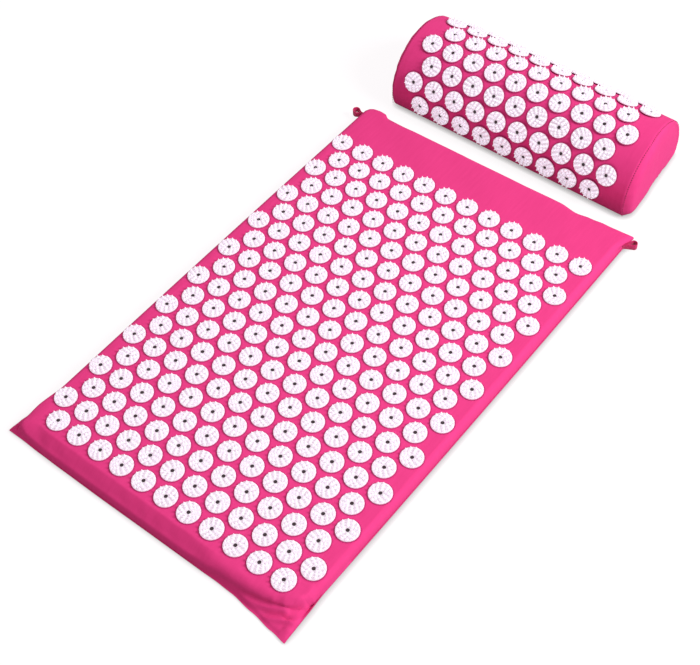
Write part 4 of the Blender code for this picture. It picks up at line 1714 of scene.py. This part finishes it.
@dataclass(frozen=True)
class Studio:
    """A pale floor and soft lamps, and the camera where the photograph was taken from.

    The camera's numbers were solved from the centres of the mat's discs in a picture of
    700 by 665 pixels, whose long side is the sensor's width.
    """

    image_width_px: float = 700.0
    focal_px: float = 1367.74
    sensor_mm: float = 36.0
    camera_place: tuple[float, float, float] = (0.65330, -0.70529, 1.23128)
    camera_right: tuple[float, float, float] = (0.78398, 0.61901, -0.04688)
    camera_up: tuple[float, float, float] = (-0.46499, 0.63559, 0.61628)
    key_direction: tuple[float, float, float] = (0.74, 0.26, 0.62)
    key_distance: float = 2.4
    key_watts: float = 49.0
    key_width: float = 1.0
    fill_strength: float = 0.54
    fill_colour: tuple[float, ...] = (1.0, 0.72, 0.85, 1.0)
    floor_half: float = 4.0
    floor_drop: float = 0.0002
    floor_shade: str = "#8C8C8C"
    floor_glow: float = 0.90
    floor_show: str = "#707070"
    # Reach and depth of the contact shadow painted into the floor's glow
    painted_contact_reach: float = 0.007
    painted_contact_depth: float = 0.7

    def light(self) -> None:
        """Adds the key lamp and the even light of the surroundings."""
        lamp = bpy.data.lights.new("key", "AREA")
        lamp.energy = self.key_watts
        lamp.shape = "DISK"
        lamp.size = self.key_width
        key = new_object("key", lamp)
        key.location = Vector(self.key_direction).normalized() * self.key_distance
        key.rotation_mode = "QUATERNION"
        key.rotation_quaternion = Vector(self.key_direction).to_track_quat("Z", "Y")
        world = bpy.data.worlds.new("studio")
        world.use_nodes = True
        bpy.context.scene.world = world
        tree = world.node_tree
        tree.nodes.clear()
        fill = add_node(tree, "ShaderNodeBackground", {0: self.fill_colour, 1: self.fill_strength})
        white = add_node(tree, "ShaderNodeBackground", {0: WHITE, 1: 1.0})
        mixed = add_node(tree, "ShaderNodeMixShader", {0: self.seen(tree), 1: fill, 2: white})
        add_node(tree, "ShaderNodeOutputWorld", {0: mixed})

    @staticmethod
    def seen(tree: bpy.types.NodeTree) -> bpy.types.Node:
        """Tells rays that show a background from those that only light the object.

        Args:
            tree: The tree to add to.

        Returns:
            The node that gives 1 for a ray that shows a background.
        """
        path = add_node(tree, "ShaderNodeLightPath").outputs
        inputs = {0: path["Is Camera Ray"], 1: path["Is Glossy Ray"]}
        shown = add_node(tree, "ShaderNodeMath", inputs, operation="MAXIMUM")
        inputs = {0: shown, 1: path["Is Transmission Ray"]}
        return add_node(tree, "ShaderNodeMath", inputs, operation="MAXIMUM")

    def floor(self) -> bpy.types.Object:
        """Adds the floor, white to the camera and still holding the object's soft shadow, with a contact
        shadow painted into its glow near the object by an ambient occlusion node.

        Returns:
            The floor.
        """
        half = self.floor_half
        data = bpy.data.meshes.new("floor")
        corners = [(-half, -half, 0.0), (half, -half, 0.0), (half, half, 0.0), (-half, half, 0.0)]
        data.from_pydata(corners, [], [(0, 1, 2, 3)])
        paper = bpy.data.materials.new("studio paper")
        paper.use_nodes = True
        tree = paper.node_tree
        tree.nodes.clear()
        lit = add_node(tree, "ShaderNodeBsdfDiffuse", {0: linear(self.floor_shade)})
        shown = add_node(tree, "ShaderNodeBsdfDiffuse", {0: linear(self.floor_show)})
        # Painted shadow: ambient occlusion dims the floor's glow near the object, which paints in a
        # contact shadow
        inputs = {"Distance": self.painted_contact_reach}
        open_sky = add_node(tree, "ShaderNodeAmbientOcclusion", inputs, samples=8).outputs["AO"]
        inputs = {0: open_sky, 1: self.painted_contact_depth, 2: 1 - self.painted_contact_depth}
        glow_after_painted_shadow = add_node(tree, "ShaderNodeMath", inputs, operation="MULTIPLY_ADD")
        inputs = {0: glow_after_painted_shadow, 1: self.floor_glow}
        strength = add_node(tree, "ShaderNodeMath", inputs, operation="MULTIPLY")
        glow = add_node(tree, "ShaderNodeEmission", {0: WHITE, 1: strength})
        bright = add_node(tree, "ShaderNodeAddShader", {0: shown, 1: glow})
        mixed = add_node(tree, "ShaderNodeMixShader", {0: self.seen(tree), 1: lit, 2: bright})
        add_node(tree, "ShaderNodeOutputMaterial", {0: mixed})
        ground = add_piece("floor", data, paper)
        ground.location.z = -self.floor_drop
        return ground

    def camera(self) -> bpy.types.Object:
        """Adds the camera and makes it the scene's.

        Returns:
            The camera.
        """
        lens = bpy.data.cameras.new("camera")
        lens.sensor_width = self.sensor_mm
        lens.lens = self.focal_px * self.sensor_mm / self.image_width_px
        right, up = Vector(self.camera_right), Vector(self.camera_up)
        back = right.cross(up).normalized()
        up = back.cross(right).normalized()
        turned = Matrix((right.normalized(), up, back)).transposed()
        camera = new_object("camera", lens)
        camera.matrix_world = Matrix.Translation(self.camera_place) @ turned.to_4x4()
        bpy.context.scene.camera = camera
        return camera


@dataclass(frozen=True)
class DiscField:
    """Where the discs go: staggered rows, flat on the mat and round the pillow's curve."""

    mat_pitch: float = 0.0320
    mat_row_step: float = 0.02715
    mat_row_discs: int = 12
    mat_rows: int = 20
    field_centre_y: float = -0.0197
    pillow_pitch: float = 0.0317
    pillow_row_discs: int = 10
    pillow_rows: int = 7
    pillow_row_turn: float = math.radians(21.9)
    pillow_middle_row: float = math.radians(-18.1)
    pillow_middle_x: float = -0.0066

    def on_mat(self) -> tuple[list[Vector], list[Euler]]:
        """Sets out the discs of the mat, from the head end.

        Returns:
            Their places and their turns.
        """
        rng = np.random.default_rng(SEED)
        places, turns = [], []
        for row in range(self.mat_rows):
            count = self.mat_row_discs - row % 2
            y = self.field_centre_y + ((self.mat_rows - 1) / 2 - row) * self.mat_row_step
            for disc in range(count):
                x = (disc - (count - 1) / 2) * self.mat_pitch
                places.append(Vector((x, y, MAT_TOP + DISC_STAND)))
                turns.append(Euler((0.0, 0.0, rng.uniform(-math.pi, math.pi))))
        return places, turns

    def on_pillow(self) -> tuple[list[Vector], list[Euler]]:
        """Sets out the discs of the pillow, from the front.

        Returns:
            Their places and their turns.
        """
        rng = np.random.default_rng(SEED + 1)
        places, turns = [], []
        for row in range(self.pillow_rows):
            turn = self.pillow_middle_row + (row - (self.pillow_rows - 1) / 2) * self.pillow_row_turn
            outwards = Vector((0.0, math.sin(turn), math.cos(turn)))
            count = self.pillow_row_discs - 1 + row % 2
            for disc in range(count):
                place = PILLOW_AXIS + outwards * (PILLOW_RADIUS + DISC_STAND)
                place.x = self.pillow_middle_x + (disc - (count - 1) / 2) * self.pillow_pitch
                spin = Matrix.Rotation(rng.uniform(-math.pi, math.pi), 3, "Z")
                places.append(place)
                turns.append((Matrix.Rotation(-turn, 3, "X") @ spin).to_euler())
        return places, turns


def sew_pillow(thread: bpy.types.Material) -> bpy.types.Object:
    """Sews the pillow's two end seams, each in the groove that its thread has drawn in, with dark
    stitches that paint the groove's shade.

    Args:
        thread: The thread's finish.

    Returns:
        The stitches as one piece.
    """
    stitches = Stitching("pillow_stitches", "pillow", thread)
    sweep, stations = math.radians(101), 160
    lean, depth = 0.25, 0.0006
    radius = PILLOW_RADIUS - depth
    for side in Side:
        line, outwards = [], []
        for turn in np.linspace(-sweep, sweep, stations):
            out = Vector((side.value * lean, math.sin(turn), math.cos(turn)))
            half = PILLOW_LENGTH / 2 - float(rear_draw(out.y * radius)) * (side is Side.RIGHT)
            x = PILLOW_AXIS.x + side.value * half
            line.append(Vector((x, PILLOW_AXIS.y + out.y * radius, PILLOW_AXIS.z + out.z * radius)))
            outwards.append(out)
        stitches.sew(line, outwards)
    return stitches.build()


def dress_zips(
    metal: bpy.types.Material, tape: bpy.types.Material, nodes: dict[str, bpy.types.Object]
) -> None:
    """Gives the zip parts that keep their CAD shape their finishes.

    Args:
        metal: The finish of stops, sliders and pulls.
        tape: The finish of the tapes.
        nodes: The CAD nodes by name.
    """
    for name, node in nodes.items():
        if "_zip_" not in name or node.hide_render:
            continue
        finish, slot = (tape, Slot.COVER) if name.endswith("_tape") else (metal, Slot.METAL)
        if finish is tape:
            unwrap_flat(node.data)
        node.data.materials.clear()
        node.data.materials.append(finish)
        LOG.info("%s: %s", name, finish.name)


def main() -> None:
    """Builds the mat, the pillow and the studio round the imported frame."""
    logging.basicConfig(level=logging.INFO, format="%(message)s")
    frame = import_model()
    bpy.context.view_layer.update()
    bpy.context.scene.view_settings.view_transform = "Standard"
    studio = Studio()
    studio.camera()
    studio.floor()
    studio.light()
    # The dark hole piece paints shade into each disc's centre hole
    cotton, plastic, hole_shade = WovenCotton().make(), MouldedPlastic().make(), PaintedShade().make()
    # Painted shadow: a dark magenta ring under every disc draws its contact shadow on the cloth
    rim_shadow = PaintedShade("painted rim shadow", colour="#A81260", rim_colour="#BC1E70").make()
    # The thread is dark so that its stitches paint a line of shade along the pillow's end seams
    ribbon, thread = WovenTape().make(), SeamShadeThread().make()
    nylon, metal = SpunNylon().make(), NickelPlate().make()
    discs = DiscField()
    mat_places, mat_turns = discs.on_mat()
    pillow_places, pillow_turns = discs.on_pillow()
    MatCover(cotton).build(mat_places)
    PillowCover(cotton).build()
    rows = [f"mat_disc_row_{row + 1:02d}" for row in range(discs.mat_rows)]
    SpikedDiscs("mat_discs", "mat", rows, mat_places, mat_turns, plastic, hole_shade, rim_shadow).build()
    rows = [f"pillow_disc_row_{row + 1}" for row in range(discs.pillow_rows)]
    SpikedDiscs("pillow_discs", "pillow", rows, pillow_places, pillow_turns, plastic, hole_shade, rim_shadow).build()
    left, right = (Vector((side.value * LOOP_X, LOOP_Y, SEAM_HEIGHT)) for side in Side)
    RibbonLoop("mat_left_loop", left, math.pi, 0.0150, 0.0084, ribbon).build()
    RibbonLoop("mat_right_loop", right, math.radians(46), 0.0180, 0.0066, ribbon).build()
    ZipCoils("mat", Vector((0.0, MAT_ZIP_Y, SEAM_HEIGHT)), MAT_ZIP_HALF, nylon).build()
    place = Vector((PILLOW_AXIS.x, PILLOW_ZIP_Y, PILLOW_AXIS.z))
    ZipCoils("pillow", place, PILLOW_ZIP_HALF, nylon).build()
    sew_pillow(thread)
    dress_zips(metal, ribbon, frame["nodes"])
    bpy.context.view_layer.update()


if __name__ == "__main__":
    main()
